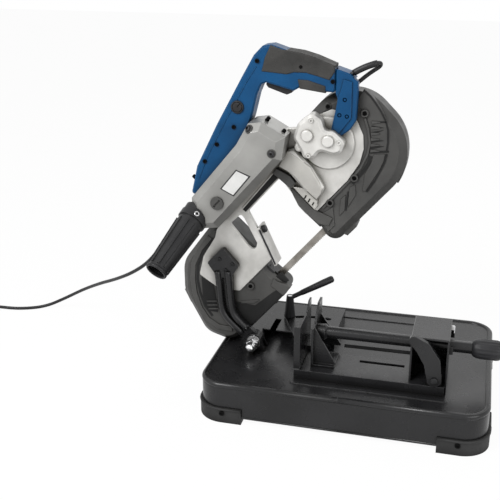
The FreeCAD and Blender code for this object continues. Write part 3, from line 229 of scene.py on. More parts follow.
# finishes: two tones and the tone of a worn edge, gloss, metal share, roughness span,
# patch size, grain size and depth, edge radius and how much the edges wear
finishes = {
    "castSilver": {
        "low": (0.46, 0.452, 0.43), "high": (0.68, 0.67, 0.645), "edge": (0.88, 0.875, 0.85),
        "gloss": 0.5, "metal": 0.45, "rough": (0.34, 0.52),
        "patch": 22, "grain": 620, "depth": 0.35, "soft": 0.0012, "wear": 0.55},
    # darker copy of the cast silver: painted shade on the nose's sloped faces
    "castSilverShaded": {
        "low": (0.36, 0.35, 0.33), "high": (0.48, 0.47, 0.44), "edge": (0.66, 0.65, 0.62),
        "gloss": 0.5, "metal": 0.5, "rough": (0.36, 0.52),
        "patch": 22, "grain": 620, "depth": 0.35, "soft": 0.0014, "wear": 0.45},
    "paintSilver": {
        "low": (0.225, 0.223, 0.213), "high": (0.325, 0.322, 0.308), "edge": (0.56, 0.555, 0.54),
        "gloss": 0.5, "metal": 0.5, "rough": (0.30, 0.44),
        "patch": 12, "grain": 900, "depth": 0.14, "soft": 0.0016, "wear": 0.35},
    "guardGrey": {
        "low": (0.044, 0.0435, 0.042), "high": (0.070, 0.069, 0.066), "edge": (0.13, 0.128, 0.122),
        "gloss": 0.28, "metal": 0.0, "rough": (0.40, 0.56),
        "patch": 18, "grain": 1500, "depth": 0.20, "soft": 0.0012, "wear": 0.45},
    # near black: a dark strip of its own, and plates of painted shade in the guards' grooves, cuts and recesses
    "guardDarkAndShade": {
        "low": (0.010, 0.010, 0.010), "high": (0.017, 0.017, 0.017), "edge": (0.030, 0.030, 0.030),
        "gloss": 0.20, "metal": 0.0, "rough": (0.50, 0.65),
        "patch": 18, "grain": 1500, "depth": 0.10, "soft": 0.0004, "wear": 0.20},
    "slotShade": {
        "low": (0.0025, 0.0025, 0.0025), "high": (0.005, 0.005, 0.005), "edge": (0.008, 0.008, 0.008),
        "gloss": 0.06, "metal": 0.0, "rough": (0.65, 0.80),
        "patch": 18, "grain": 1500, "depth": 0.05, "soft": 0.0003, "wear": 0.10},
    "labelWhite": {
        "low": (0.52, 0.52, 0.51), "high": (0.60, 0.60, 0.59), "edge": (0.68, 0.68, 0.67),
        "gloss": 0.3, "metal": 0.0, "rough": (0.25, 0.38),
        "patch": 30, "grain": 1500, "depth": 0.04, "soft": 0.0003, "wear": 0.20},
    "handleBlue": {
        "low": (0.0006, 0.040, 0.114), "high": (0.0012, 0.060, 0.168), "edge": (0.016, 0.130, 0.310),
        "gloss": 0.22, "metal": 0.0, "rough": (0.34, 0.48),
        "patch": 16, "grain": 1500, "depth": 0.16, "soft": 0.0013, "wear": 0.40},
    "gripGrey": {
        "low": (0.026, 0.0255, 0.0245), "high": (0.042, 0.041, 0.039), "edge": (0.10, 0.098, 0.094),
        "gloss": 0.25, "metal": 0.0, "rough": (0.62, 0.80),
        "patch": 30, "grain": 520, "depth": 0.60, "soft": 0.0014, "wear": 0.35},
    # its pale edge tone is wear and also a painted highlight along the tray's edges
    "blackSteel": {
        "low": (0.008, 0.008, 0.0085), "high": (0.016, 0.016, 0.017), "edge": (0.10, 0.10, 0.105),
        "gloss": 0.34, "metal": 0.0, "rough": (0.20, 0.34),
        "patch": 9, "grain": 420, "depth": 0.22, "soft": 0.0014, "wear": 0.60},
    "footRubber": {
        "low": (0.020, 0.020, 0.020), "high": (0.034, 0.034, 0.034), "edge": (0.10, 0.10, 0.10),
        "gloss": 0.22, "metal": 0.0, "rough": (0.52, 0.70),
        "patch": 20, "grain": 900, "depth": 0.25, "soft": 0.0016, "wear": 0.40},
    "blackRubber": {
        "low": (0.008, 0.008, 0.009), "high": (0.017, 0.017, 0.018), "edge": (0.040, 0.040, 0.041),
        "gloss": 0.28, "metal": 0.0, "rough": (0.36, 0.55),
        "patch": 20, "grain": 900, "depth": 0.16, "soft": 0.0012, "wear": 0.35},
    "chromeSteel": {
        "low": (0.55, 0.55, 0.56), "high": (0.80, 0.80, 0.81), "edge": (0.86, 0.86, 0.86),
        "gloss": 0.5, "metal": 1.0, "rough": (0.10, 0.24),
        "patch": 60, "grain": 1500, "depth": 0.05, "soft": 0.0006, "wear": 0.3},
    "screwSteel": {
        "low": (0.020, 0.020, 0.021), "high": (0.045, 0.045, 0.047), "edge": (0.16, 0.16, 0.165),
        "gloss": 0.4, "metal": 0.6, "rough": (0.30, 0.48),
        "patch": 80, "grain": 1500, "depth": 0.08, "soft": 0.0005, "wear": 0.5},
    "bladeSteel": {
        "low": (0.20, 0.185, 0.165), "high": (0.38, 0.36, 0.33), "edge": (0.60, 0.59, 0.57),
        "gloss": 0.5, "metal": 0.9, "rough": (0.28, 0.46),
        "patch": 45, "grain": 1500, "depth": 0.08, "soft": 0.0003, "wear": 0.5},
    "wheelAlloy": {
        "low": (0.40, 0.40, 0.40), "high": (0.58, 0.58, 0.58), "edge": (0.74, 0.74, 0.74),
        "gloss": 0.5, "metal": 0.85, "rough": (0.26, 0.42),
        "patch": 30, "grain": 1200, "depth": 0.10, "soft": 0.0008, "wear": 0.4},
    "tyreRubber": {
        "low": (0.014, 0.014, 0.014), "high": (0.028, 0.028, 0.028), "edge": (0.05, 0.05, 0.05),
        "gloss": 0.25, "metal": 0.0, "rough": (0.55, 0.75),
        "patch": 30, "grain": 900, "depth": 0.20, "soft": 0.0008, "wear": 0.3},
    "knobBlack": {
        "low": (0.010, 0.010, 0.011), "high": (0.020, 0.020, 0.022), "edge": (0.055, 0.055, 0.058),
        "gloss": 0.28, "metal": 0.0, "rough": (0.38, 0.55),
        "patch": 25, "grain": 1200, "depth": 0.16, "soft": 0.0012, "wear": 0.4},
}

# what all finishes share: spans of the noises, wear and painted highlight along edges, painted shade in corners,
# grain
finishMake = {
    "cloudSpan": (0.3, 0.7),
    "toneStops": (0.32, 0.68),
    "toneDetail": 6,
    "edgeSpan": (0.86, 0.99),
    "edgeSamples": 4,
    "rubScale": 4,
    "rubDetail": 5,
    "rubSpan": (0.15, 1.0),
    "shadeReach": 0.016,
    "shadeStops": (0.35, 0.92),
    "shadeTone": (0.22, 0.21, 0.19),
    "shadeSamples": 6,
    "roughScale": 2.7,
    "roughDetail": 8,
    "grainDetail": 2,
    "grainHeight": 0.0006,
}
white = (1, 1, 1)


def joined(tree, operation, first, second):
    # two shares worked into one
    node = tree.nodes.new("ShaderNodeMath")
    node.operation = operation
    tree.links.new(first, node.inputs[0])
    tree.links.new(second, node.inputs[1])
    return node.outputs[0]


def spread(tree, source, fromSpan, toSpan):
    # map a share onto a span, held at its ends
    node = tree.nodes.new("ShaderNodeMapRange")
    for name, value in zip(("From Min", "From Max", "To Min", "To Max"), (*fromSpan, *toSpan)):
        node.inputs[name].default_value = value
    tree.links.new(source, node.inputs["Value"])
    return node.outputs["Result"]


def ramp(tree, source, stops, tones):
    node = tree.nodes.new("ShaderNodeValToRGB")
    for element, stop, tone in zip(node.color_ramp.elements, stops, tones):
        element.position = stop
        element.color = (*tone, 1)
    tree.links.new(source, node.inputs["Fac"])
    return node.outputs["Color"]


def makeFinish(name, look, make):
    material = bpy.data.materials.new(name)
    material.use_nodes = True
    tree = material.node_tree
    nodes, links = tree.nodes, tree.links
    shader = nodes["Principled BSDF"]
    shader.inputs["Metallic"].default_value = look["metal"]
    shader.inputs["Specular IOR Level"].default_value = look["gloss"]
    coords = nodes.new("ShaderNodeTexCoord")

    def noise(scale, detail):
        cloud = nodes.new("ShaderNodeTexNoise")
        cloud.inputs["Scale"].default_value = scale
        cloud.inputs["Detail"].default_value = detail
        links.new(coords.outputs["Object"], cloud.inputs["Vector"])
        return cloud.outputs["Fac"]

    patches = noise(look["patch"], make["toneDetail"])
    tones = ramp(tree, patches, make["toneStops"], (look["low"], look["high"]))

    # edges: where a rounded normal leaves the flat one, rubbed in patches, lighter: worn edges, and on the black
    # steel also a painted highlight
    rounded = nodes.new("ShaderNodeBevel")
    rounded.samples = make["edgeSamples"]
    rounded.inputs["Radius"].default_value = look["soft"]
    surface = nodes.new("ShaderNodeNewGeometry")
    facing = nodes.new("ShaderNodeVectorMath")
    facing.operation = "DOT_PRODUCT"
    links.new(rounded.outputs["Normal"], facing.inputs[0])
    links.new(surface.outputs["Normal"], facing.inputs[1])
    nearEdge = spread(tree, facing.outputs["Value"], make["edgeSpan"], (look["wear"], 0.0))
    rubs = noise(look["patch"] * make["rubScale"], make["rubDetail"])
    edgeWearAndHighlightShare = joined(tree, "MULTIPLY", nearEdge, spread(tree, rubs, make["cloudSpan"], make["rubSpan"]))
    edgeWearAndHighlight = nodes.new("ShaderNodeMix")
    edgeWearAndHighlight.data_type = "RGBA"
    links.new(edgeWearAndHighlightShare, edgeWearAndHighlight.inputs["Factor"])
    links.new(tones, edgeWearAndHighlight.inputs["A"])
    edgeWearAndHighlight.inputs["B"].default_value = (*look["edge"], 1)

    # corners and creases darkened by ambient occlusion: painted shade
    shut = nodes.new("ShaderNodeAmbientOcclusion")
    shut.samples = make["shadeSamples"]
    shut.inputs["Distance"].default_value = make["shadeReach"]
    cornerShade = ramp(tree, shut.outputs["AO"], make["shadeStops"], (make["shadeTone"], white))
    darker = nodes.new("ShaderNodeMix")
    darker.data_type = "RGBA"
    darker.blend_type = "MULTIPLY"
    darker.inputs["Factor"].default_value = 1.0
    links.new(edgeWearAndHighlight.outputs["Result"], darker.inputs["A"])
    links.new(cornerShade, darker.inputs["B"])
    links.new(darker.outputs["Result"], shader.inputs["Base Color"])

    dull = noise(look["patch"] * make["roughScale"], make["roughDetail"])
    links.new(spread(tree, dull, make["cloudSpan"], look["rough"]), shader.inputs["Roughness"])
    bump = nodes.new("ShaderNodeBump")
    bump.inputs["Strength"].default_value = look["depth"]
    bump.inputs["Distance"].default_value = make["grainHeight"]
    links.new(noise(look["grain"], make["grainDetail"]), bump.inputs["Height"])
    links.new(rounded.outputs["Normal"], bump.inputs["Normal"])
    links.new(bump.outputs["Normal"], shader.inputs["Normal"])
    return material


made = {name: makeFinish(name, look, finishMake) for name, look in finishes.items()}

# which finish each of the record's slots wears
slotFinish = {
    "black_steel": "blackSteel",
    "cast_silver": "castSilver",
    "grey_plastic": "guardGrey",
    "blue_plastic": "handleBlue",
    "grip_rubber": "gripGrey",
    "foot_rubber": "footRubber",
    "black_rubber": "blackRubber",
    "chrome_steel": "chromeSteel",
    "screw_steel": "screwSteel",
    "blade_steel": "bladeSteel",
    "wheel_alloy": "wheelAlloy",
    "tyre_rubber": "tyreRubber",
    "black_plastic": "knobBlack",
}

# nodes whose finish differs from the rest of their slot
nodeFinish = {
    "motor_housing": "paintSilver",
    "cover_screws": "castSilver",
    "lever_pin": "screwSteel",
    "arm_screws": "knobBlack",
    "handle_screws": "slotShade",
    "foot_screws": "slotShade",
    "bracket_bolts": "screwSteel",
    "guard_screws": "slotShade",
}

# the slot that a piece of each finish belongs to
finishSlot = {finish: slot for slot, finish in slotFinish.items()}
finishSlot["guardDarkAndShade"] = "grey_plastic"
finishSlot["slotShade"] = "black_plastic"
finishSlot["castSilverShaded"] = "cast_silver"
finishSlot["labelWhite"] = "cast_silver"


def wear(piece, finish):
    piece.data.materials.clear()
    piece.data.materials.append(made[finish])


for subpart in frame["record"]["subparts"]:
    wear(bpy.data.objects[subpart["node"]], slotFinish[subpart["material_slot"]])
for node, finish in nodeFinish.items():
    wear(bpy.data.objects[node], finish)
wear(cordTube, "blackRubber")

# pieces on the saw are laid out in shares of its reach, along the blade and up from it,
# then turned up on the hinge; their depth is in metres, less towards the near side
sawPlace = {"hinge": (-0.1434, 0.0, 0.088), "tilt": 49.0, "reach": 0.5}
toward = (0, -1, 0)  # to the near side of the stand
rimRound = {"segments": 3, "profile": 0.5}  # of a plate's outer edge

# domed head with a six-sided socket, in shares of its radius
screwHead = {
    "profile": [(0.0, 1), (0.40, 1), (0.62, 0.86), (0.70, 0.62)],
    "socket": 0.52,
    "socketHeights": (0.70, 0.25),
    "sides": 24,
}


def onSaw(along, up, depth):
    turn = math.radians(sawPlace["tilt"])
    along = along * sawPlace["reach"]
    up = up * sawPlace["reach"]
    x = sawPlace["hinge"][0] + along * math.cos(turn) - up * math.sin(turn)
    z = sawPlace["hinge"][2] + along * math.sin(turn) + up * math.cos(turn)
    return Vector((x, depth, z))


def laidOut(outline, depth):
    return [onSaw(along, up, depth) for along, up in outline]


def dress(piece, finish, body):
    wear(piece, finish)
    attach(piece, body)
    return piece


def addPiece(name, shape, finish, body="saw", smooth=False):
    mesh = bpy.data.meshes.new(name)
    bmesh.ops.recalc_face_normals(shape, faces=shape.faces[:])
    shape.to_mesh(mesh)
    shape.free()
    for polygon in mesh.polygons:
        polygon.use_smooth = smooth
    piece = bpy.data.objects.new(name, mesh)
    scene.collection.objects.link(piece)
    return dress(piece, finish, body)


def growPrism(shape, corners, push, bevel):
    # plate pushed out of a flat outline, with its outer rim rounded
    base = [shape.verts.new(corner) for corner in corners]
    face = shape.faces.new(base)
    grown = bmesh.ops.extrude_face_region(shape, geom=[face])
    top = [item for item in grown["geom"] if isinstance(item, bmesh.types.BMVert)]
    bmesh.ops.translate(shape, verts=top, vec=push)
    rim = [edge for edge in shape.edges if edge.verts[0] in top and edge.verts[1] in top]
    if bevel > 0:
        bmesh.ops.bevel(shape, geom=rim, offset=bevel, affect="EDGES", **rimRound)


def growPlate(shape, outline, near, far, bevel=0):
    growPrism(shape, laidOut(outline, far), Vector((0, near - far, 0)), bevel)


def growBar(shape, line, width, near, far, bevel=0):
    # bar that follows a line of shares, with square ends
    points = laidOut(line, far)
    left, right = [], []
    for i, point in enumerate(points):
        ahead = points[min(i + 1, len(points) - 1)] - points[max(i - 1, 0)]
        side = Vector((-ahead.z, 0, ahead.x)).normalized() * (width / 2)
        left.append(point + side)
        right.append(point - side)
    growPrism(shape, left + right[::-1], Vector((0, near - far, 0)), bevel)


def joinRings(shape, rings, hollow=False):
    # skin over rings of points, shut at both ends, or led back to the first ring round a hole
    following = rings[1:] + rings[:1] if hollow else rings[1:]
    for ring, after in zip(rings, following):
        for i in range(len(ring)):
            j = (i + 1) % len(ring)
            shape.faces.new((ring[i], ring[j], after[j], after[i]))
    if not hollow:
        shape.faces.new(rings[0][::-1])
        shape.faces.new(rings[-1])


def spokes(axis, sides):
    # directions straight out from an axis
    across = axis.orthogonal().normalized()
    other = axis.cross(across)
    angles = [2 * math.pi * i / sides for i in range(sides)]
    return [across * math.cos(angle) + other * math.sin(angle) for angle in angles]


def growTurned(shape, middle, axis, profile, sides, hollow=False):
    # profile of (height along the axis, radius) carried round it
    axis = Vector(axis).normalized()
    outs = spokes(axis, sides)
    rings = []
    for height, radius in profile:
        rings.append([shape.verts.new(middle + axis * height + out * radius) for out in outs])
    joinRings(shape, rings, hollow)


def growScrew(shape, middle, axis, radius):
    axis = Vector(axis).normalized()
    outs = spokes(axis, screwHead["sides"])
    rings = []
    for height, size in screwHead["profile"]:
        rings.append([middle + axis * (height * radius) + out * (size * radius) for out in outs])
    for height in screwHead["socketHeights"]:
        ring = []
        for i, out in enumerate(outs):
            angle = 2 * math.pi * i / len(outs)
            flat = math.cos(math.pi / 6) / math.cos((angle % (math.pi / 3)) - math.pi / 6)
            ring.append(middle + axis * (height * radius) + out * (screwHead["socket"] * radius * flat))
        rings.append(ring)
    joinRings(shape, [[shape.verts.new(point) for point in ring] for ring in rings])


def addPlates(plates):
    for name, plate in plates.items():
        shape = bmesh.new()
        growPlate(shape, plate["outline"], *plate["depths"], plate["bevel"])
        addPiece(name, shape, plate["finish"])


def addBars(name, bars):
    shape = bmesh.new()
    for line in bars["lines"]:
        growBar(shape, line, bars["width"], *bars["depths"], bars["bevel"])
    addPiece(name, shape, bars["finish"])


def addTurned(name, middle, axis, turned, body="saw"):
    shape = bmesh.new()
    growTurned(shape, middle, axis, turned["profile"], turned["sides"], turned["hollow"])
    addPiece(name, shape, turned["finish"], body, smooth=turned["smooth"])


# plain panel where the housing carries its label, with a darker border
labelPlates = {
    "labelBorder": {
        "finish": "screwSteel", "depths": (-0.0825, -0.082), "bevel": 0.0002,
        "outline": [(0.396, 0.478), (0.488, 0.482), (0.507, 0.430), (0.410, 0.426)]},
    "labelPanel": {
        "finish": "labelWhite", "depths": (-0.0829, -0.082), "bevel": 0.0002,
        "outline": [(0.401, 0.474), (0.486, 0.478), (0.501, 0.434), (0.413, 0.430)]},
}
addPlates(labelPlates)

# socket screws of the motor housing, each in a dark seat
motorScrews = {
    "spots": [(0.618, 0.430, -0.082, toward), (0.622, 0.543, -0.0755, (-0.534, -0.707, 0.464))],
    "radius": 0.0052,
    "lift": 0.0008,
    "seat": [(-0.001, 0.0078), (0.0006, 0.0078), (0.0010, 0.00702)],
    "seatSides": 32,
}


def addMotorScrews(setup):
    shape = bmesh.new()
    for *spot, axis in setup["spots"]:
        growTurned(shape, onSaw(*spot), axis, setup["seat"], setup["seatSides"])
    addPiece("motorScrewSeats", shape, "guardGrey")
    shape = bmesh.new()
    for *spot, axis in setup["spots"]:
        lifted = onSaw(*spot) + Vector(axis).normalized() * setup["lift"]
        growScrew(shape, lifted, axis, setup["radius"])
    addPiece("motorScrews", shape, "screwSteel")


addMotorScrews(motorScrews)

# ring round the speed dial
dialRing = {
    "finish": "knobBlack", "hollow": True, "smooth": False, "sides": 48,
    "middle": (0.626, 0.626, -0.038),
    "profile": [(-0.0005, 0.0090), (-0.0005, 0.0112), (0.0021, 0.0112), (0.0030, 0.0102), (0.0030, 0.0096),
                (0.0024, 0.0090)],
}
addTurned("dialRing", onSaw(*dialRing["middle"]), toward, dialRing)

# round rails of the swing arm, bent from the plate down to the hinge
armRails = {
    "lines": [
        [(0.106, 0.284), (0.086, 0.258), (0.050, 0.220), (0.012, 0.182), (-0.008, 0.150), (-0.014, 0.112),
         (-0.014, 0.050)],
        [(0.134, 0.256), (0.112, 0.230), (0.075, 0.192), (0.040, 0.155), (0.020, 0.128), (0.014, 0.100),
         (0.014, 0.050)],
    ],
    "depth": -0.0345,
    "radius": 0.0062,
    "sides": 20,
}
for number, line in enumerate(armRails["lines"], 1):
    railLine = bentLine(laidOut(line, armRails["depth"]))
    rail = tubeAlong("armRail" + str(number), railLine, armRails["radius"], armRails["sides"])
    dress(rail, "blackSteel", "saw")

# raised ring round a screw of the guards
screwBoss = {
    "sides": 32,
    "profile": [(0, 0.0040), (0, 0.0068), (0.00368, 0.0068), (0.0046, 0.0060), (0.0046, 0.0044),
                (0.00414, 0.0040)],
}


def growBoss(shape, spot, face):
    growTurned(shape, onSaw(*spot, face), toward, screwBoss["profile"], screwBoss["sides"], hollow=True)


# front guard: its flat carried out to the crease, raised panels, screw bosses, bumper and foot, and dark strips
# of painted shade in the grooves and cuts
guardTrim = {
    "face": -0.022,
    "sink": 0.001,
    "panels": [
        [(0.827, 0.175), (0.854, 0.148), (0.831, 0.134), (0.801, 0.124), (0.714, 0.106), (0.704, 0.111),
         (0.755, 0.149), (0.803, 0.161)],
        [(0.684, 0.153), (0.704, 0.146), (0.680, 0.120), (0.627, 0.109), (0.652, 0.130)],
        [(0.630, 0.146), (0.654, 0.145), (0.611, 0.109), (0.582, 0.108)],
        [(0.530, 0.160), (0.590, 0.146), (0.545, 0.096), (0.510, 0.096)],
    ],
    "panelRise": 0.0016,
    "panelBevel": 0.0006,
    "rim": [(0.896, 0.283), (0.876, 0.248), (0.846, 0.212), (0.811, 0.190), (0.760, 0.174), (0.706, 0.170),
            (0.560, 0.169)],
    "rimWidth": 0.0040,
    "rimRise": 0.0026,
    "rimBevel": 0.0010,
    "bosses": [(0.908, 0.294), (0.720, 0.165), (0.594, 0.164)],
    # each groove is a line and its width
    "grooves": [
        ([(0.962, 0.350), (0.962, 0.319), (0.957, 0.289), (0.949, 0.257), (0.937, 0.224), (0.920, 0.198),
          (0.890, 0.169), (0.867, 0.153)], 0.0028),
        ([(0.821, 0.189), (0.847, 0.167), (0.869, 0.146)], 0.0030),
        ([(0.815, 0.178), (0.791, 0.166), (0.750, 0.158), (0.700, 0.156)], 0.0050),
        ([(0.858, 0.144), (0.831, 0.129), (0.801, 0.119), (0.759, 0.108), (0.714, 0.101)], 0.0028),
        ([(0.901, 0.257), (0.936, 0.222)], 0.0024),
        ([(0.668, 0.146), (0.612, 0.106)], 0.0028),
    ],
    "cuts": [
        [(0.893, 0.249), (0.887, 0.243), (0.917, 0.213)],
        [(0.877, 0.234), (0.870, 0.228), (0.910, 0.209)],
        [(0.859, 0.214), (0.853, 0.207), (0.884, 0.184)],
        [(0.840, 0.200), (0.831, 0.195), (0.872, 0.169)],
    ],
    "grooveRise": 0.0011,
}
bumperArc = {"middle": (0.766, 0.232), "radii": (0.166, 0.1935), "turns": (-79, -50), "steps": 12}


def arcOutline(arc):
    x, y = arc["middle"]
    first, last = arc["turns"]
    inner, outer = arc["radii"]
    steps = range(arc["steps"] + 1)
    points = []
    for radius, row in ((outer, steps), (inner, reversed(steps))):
        for i in row:
            angle = math.radians(first + (last - first) * i / arc["steps"])
            points.append((x + radius * math.cos(angle), y + radius * math.sin(angle)))
    return points


guardPlates = {
    "guardFlat": {
        "finish": "guardGrey", "depths": (-0.0224, -0.008), "bevel": 0.0008,
        "outline": [(0.966, 0.352), (0.966, 0.319), (0.961, 0.289), (0.953, 0.256), (0.941, 0.223),
                    (0.924, 0.196), (0.893, 0.166), (0.868, 0.149), (0.826, 0.190), (0.857, 0.216),
                    (0.885, 0.250), (0.905, 0.285), (0.912, 0.340)]},
    "guardBumper1": {
        "finish": "guardGrey", "depths": (-0.006, 0.030), "bevel": 0.0015, "outline": arcOutline(bumperArc)},
    "guardFoot": {
        "finish": "guardGrey", "depths": (-0.010, 0.030), "bevel": 0.0015,
        "outline": [(0.540, 0.034), (0.588, 0.034), (0.600, 0.060), (0.530, 0.060)]},
}


def addGuardTrim(setup):
    face = setup["face"]
    sunk = face + setup["sink"]
    shape = bmesh.new()
    for outline in setup["panels"]:
        growPlate(shape, outline, face - setup["panelRise"], face, setup["panelBevel"])
    growBar(shape, setup["rim"], setup["rimWidth"], face - setup["rimRise"], sunk, setup["rimBevel"])
    for spot in setup["bosses"]:
        growBoss(shape, spot, face)
    addPiece("guardPanels", shape, "guardGrey")
    # painted shade: dark strips and triangles standing for the shade in the grooves and cuts
    shape = bmesh.new()
    for line, width in setup["grooves"]:
        growBar(shape, line, width, face - setup["grooveRise"], sunk)
    for outline in setup["cuts"]:
        growPlate(shape, outline, face - setup["grooveRise"], face)
    addPiece("guardGrooveShade", shape, "guardDarkAndShade")


addPlates(guardPlates)
addGuardTrim(guardTrim)

# rear guard: pointed lip by the cut, bumpers, raised rim, boss, and dark plates of painted shade in the groove,
# in the recess behind the arm, on the lower facet and beside the lip
rearPlates = {
    "rearClaw": {
        "finish": "guardGrey", "depths": (-0.024, -0.009), "bevel": 0.0012,
        "outline": [(0.200, 0.100), (0.206, 0.041), (0.252, 0.046), (0.246, 0.066), (0.232, 0.090),
                    (0.228, 0.112)]},
    # dark plate set back beside the lip: painted shade
    "rearLipShade": {
        "finish": "guardDarkAndShade", "depths": (-0.015, -0.011), "bevel": 0.0006,
        "outline": [(0.236, 0.112), (0.262, 0.106), (0.258, 0.066), (0.228, 0.072)]},
    "rearBumper1": {
        "finish": "guardGrey", "depths": (-0.008, 0.028), "bevel": 0.0012,
        "outline": [(-0.076, 0.322), (-0.098, 0.270), (-0.088, 0.266), (-0.066, 0.318)]},
    "rearBumper2": {
        "finish": "guardGrey", "depths": (-0.008, 0.028), "bevel": 0.0012,
        "outline": [(-0.118, 0.128), (-0.104, 0.088), (-0.094, 0.092), (-0.108, 0.132)]},
}
rearTrim = {
    "face": -0.022,
    "rim": [(0.176, 0.390), (0.112, 0.386), (0.048, 0.366), (0.000, 0.330), (-0.040, 0.286), (-0.072, 0.232),
            (-0.086, 0.180), (-0.076, 0.128), (-0.044, 0.086)],
    "rimWidth": 0.0100,
    "rimDepths": (-0.0242, -0.010),
    "rimBevel": 0.0010,
    "boss": (0.144, 0.154),
    "strip": [(0.067, 0.141), (0.126, 0.094), (0.101, 0.099), (0.064, 0.131)],
    "stripRise": 0.0014,
    "stripBevel": 0.0004,
    "groove": [(0.180, 0.376), (0.114, 0.370), (0.056, 0.349), (0.012, 0.316), (-0.024, 0.272), (-0.052, 0.222),
               (-0.062, 0.176)],
    "grooveWidth": 0.0044,
    "grooveDepths": (-0.0226, -0.021),
    "recess": [(0.029, 0.309), (0.060, 0.282), (0.019, 0.230), (-0.015, 0.192), (-0.034, 0.172), (-0.055, 0.198),
               (-0.034, 0.248)],
    "facet": [(0.040, 0.156), (0.056, 0.146), (0.095, 0.090), (0.188, 0.078), (0.206, 0.074), (0.206, 0.047),
              (0.161, 0.047), (0.078, 0.047), (0.010, 0.050), (-0.010, 0.060), (0.012, 0.110)],
    "shadeDepths": (-0.0227, -0.0215),
}
rearRibs = {
    "finish": "guardGrey", "width": 0.0026, "depths": (-0.0242, -0.022), "bevel": 0.0005,
    "lines": [[(-0.031, 0.231), (0.001, 0.202)], [(-0.041, 0.219), (-0.009, 0.190)],
              [(-0.049, 0.206), (-0.019, 0.178)]],
}


def addRearTrim(setup):
    face = setup["face"]
    shape = bmesh.new()
    growBar(shape, setup["rim"], setup["rimWidth"], *setup["rimDepths"], setup["rimBevel"])
    growBoss(shape, setup["boss"], face)
    growPlate(shape, setup["strip"], face - setup["stripRise"], face, setup["stripBevel"])
    addPiece("rearRim", shape, "guardGrey")
    # painted shade: dark plates in the groove, the recess and on the lower facet
    shape = bmesh.new()
    growBar(shape, setup["groove"], setup["grooveWidth"], *setup["grooveDepths"])
    for outline in (setup["recess"], setup["facet"]):
        growPlate(shape, outline, *setup["shadeDepths"])
    addPiece("rearShadePlates", shape, "guardDarkAndShade")


addPlates(rearPlates)
addRearTrim(rearTrim)
addBars("rearRibs", rearRibs)

# small lug beside the gear cover
coverLug = {
    "finish": "castSilver", "hollow": False, "smooth": False, "sides": 28,
    "middle": (0.679, 0.377, -0.024),
    "profile": [(0, 0.0092), (0.01872, 0.0092), (0.02256, 0.007544), (0.024, 0.0046)],
}
addTurned("coverLug", onSaw(*coverLug["middle"]), toward, coverLug)

# dark strip along the edge of the work stop
stopStrip = {
    "finish": "knobBlack", "width": 0.0030, "depths": (-0.0262, -0.0238), "bevel": 0.0004,
    "lines": [[(0.3345, 0.276), (0.2775, 0.146)]],
}
addBars("stopStrip", stopStrip)

# around the throat: black block behind the housing, bar over the blade's way back with its bright edge,
# lip of the front guard, block and ridge of the nose in a darker silver of painted shade, its cuts as dark
# strips of painted shade, web behind the housing
throatPlates = {
    "throatBlock": {
        "finish": "guardGrey", "depths": (-0.034, -0.0235), "bevel": 0.0012,
        "outline": [(0.557, 0.384), (0.571, 0.330), (0.566, 0.300), (0.538, 0.300), (0.534, 0.384)]},
    "returnBar": {
        "finish": "guardDarkAndShade", "depths": (-0.0262, -0.0234), "bevel": 0.0006,
        "outline": [(0.350, 0.357), (0.528, 0.357), (0.540, 0.370), (0.534, 0.378), (0.350, 0.371)]},
    "throatLip": {
        "finish": "guardGrey", "depths": (-0.0260, -0.0234), "bevel": 0.0008,
        "outline": [(0.531, 0.300), (0.518, 0.268), (0.506, 0.235), (0.504, 0.201), (0.508, 0.141),
                    (0.530, 0.110), (0.560, 0.120), (0.542, 0.172), (0.535, 0.190), (0.539, 0.253),
                    (0.540, 0.296)]},
    "noseBlock": {
        "finish": "castSilverShaded", "depths": (-0.0350, -0.0234), "bevel": 0.0010,
        "outline": [(0.551, 0.297), (0.574, 0.267), (0.575, 0.204), (0.562, 0.190), (0.544, 0.186),
                    (0.547, 0.254)]},
    "noseRidge": {
        "finish": "castSilverShaded", "depths": (-0.0408, -0.0234), "bevel": 0.0030,
        "outline": [(0.637, 0.398), (0.646, 0.356), (0.650, 0.302), (0.633, 0.246), (0.622, 0.219),
                    (0.605, 0.209), (0.578, 0.206), (0.577, 0.268), (0.583, 0.308), (0.582, 0.343),
                    (0.572, 0.384), (0.612, 0.402)]},
    "noseWeb": {
        "finish": "castSilver", "depths": (-0.0270, -0.0140), "bevel": 0.0010,
        "outline": [(0.680, 0.455), (0.714, 0.424), (0.660, 0.368), (0.612, 0.392)]},
}
returnEdge = {
    "finish": "castSilver", "width": 0.0022, "depths": (-0.0260, -0.0234), "bevel": 0.0003,
    "lines": [[(0.352, 0.3735), (0.533, 0.3805)]],
}
noseCutShade = {
    "finish": "slotShade", "width": 0.0022, "depths": (-0.0354, -0.0340), "bevel": 0,
    "lines": [[(0.548, 0.240), (0.562, 0.243)], [(0.548, 0.222), (0.562, 0.225)],
              [(0.550, 0.204), (0.562, 0.207)]],
}
addPlates(throatPlates)
addBars("returnEdge", returnEdge)
addBars("noseCutShade", noseCutShade)

# rod of the hook, bent to a narrow loop, with a rubber sleeve on one limb
hookRod = {
    "line": [(0.940, 0.418, -0.022), (0.968, 0.418, -0.022), (1.016, 0.401, -0.022), (1.051, 0.382, -0.021),
             (1.062, 0.372, -0.014), (1.052, 0.363, -0.008), (1.011, 0.374, -0.005), (0.961, 0.381, -0.005),
             (0.935, 0.385, -0.005)],
    "radius": 0.0036,
    "sleeve": (0.10, 0.42),
    "sleeveRadius": 0.0054,
    "sides": 16,
}


def addHook(setup):
    points = bentLine([onSaw(*spot) for spot in setup["line"]])
    first, last = [round(share * len(points)) for share in setup["sleeve"]]
    rod = tubeAlong("hookRod", points, setup["radius"], setup["sides"])
    sleeve = tubeAlong("hookSleeve", points[first:last], setup["sleeveRadius"], setup["sides"])
    dress(rod, "screwSteel", "saw")
    dress(sleeve, "blackRubber", "saw")
    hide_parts("hook")


addHook(hookRod)

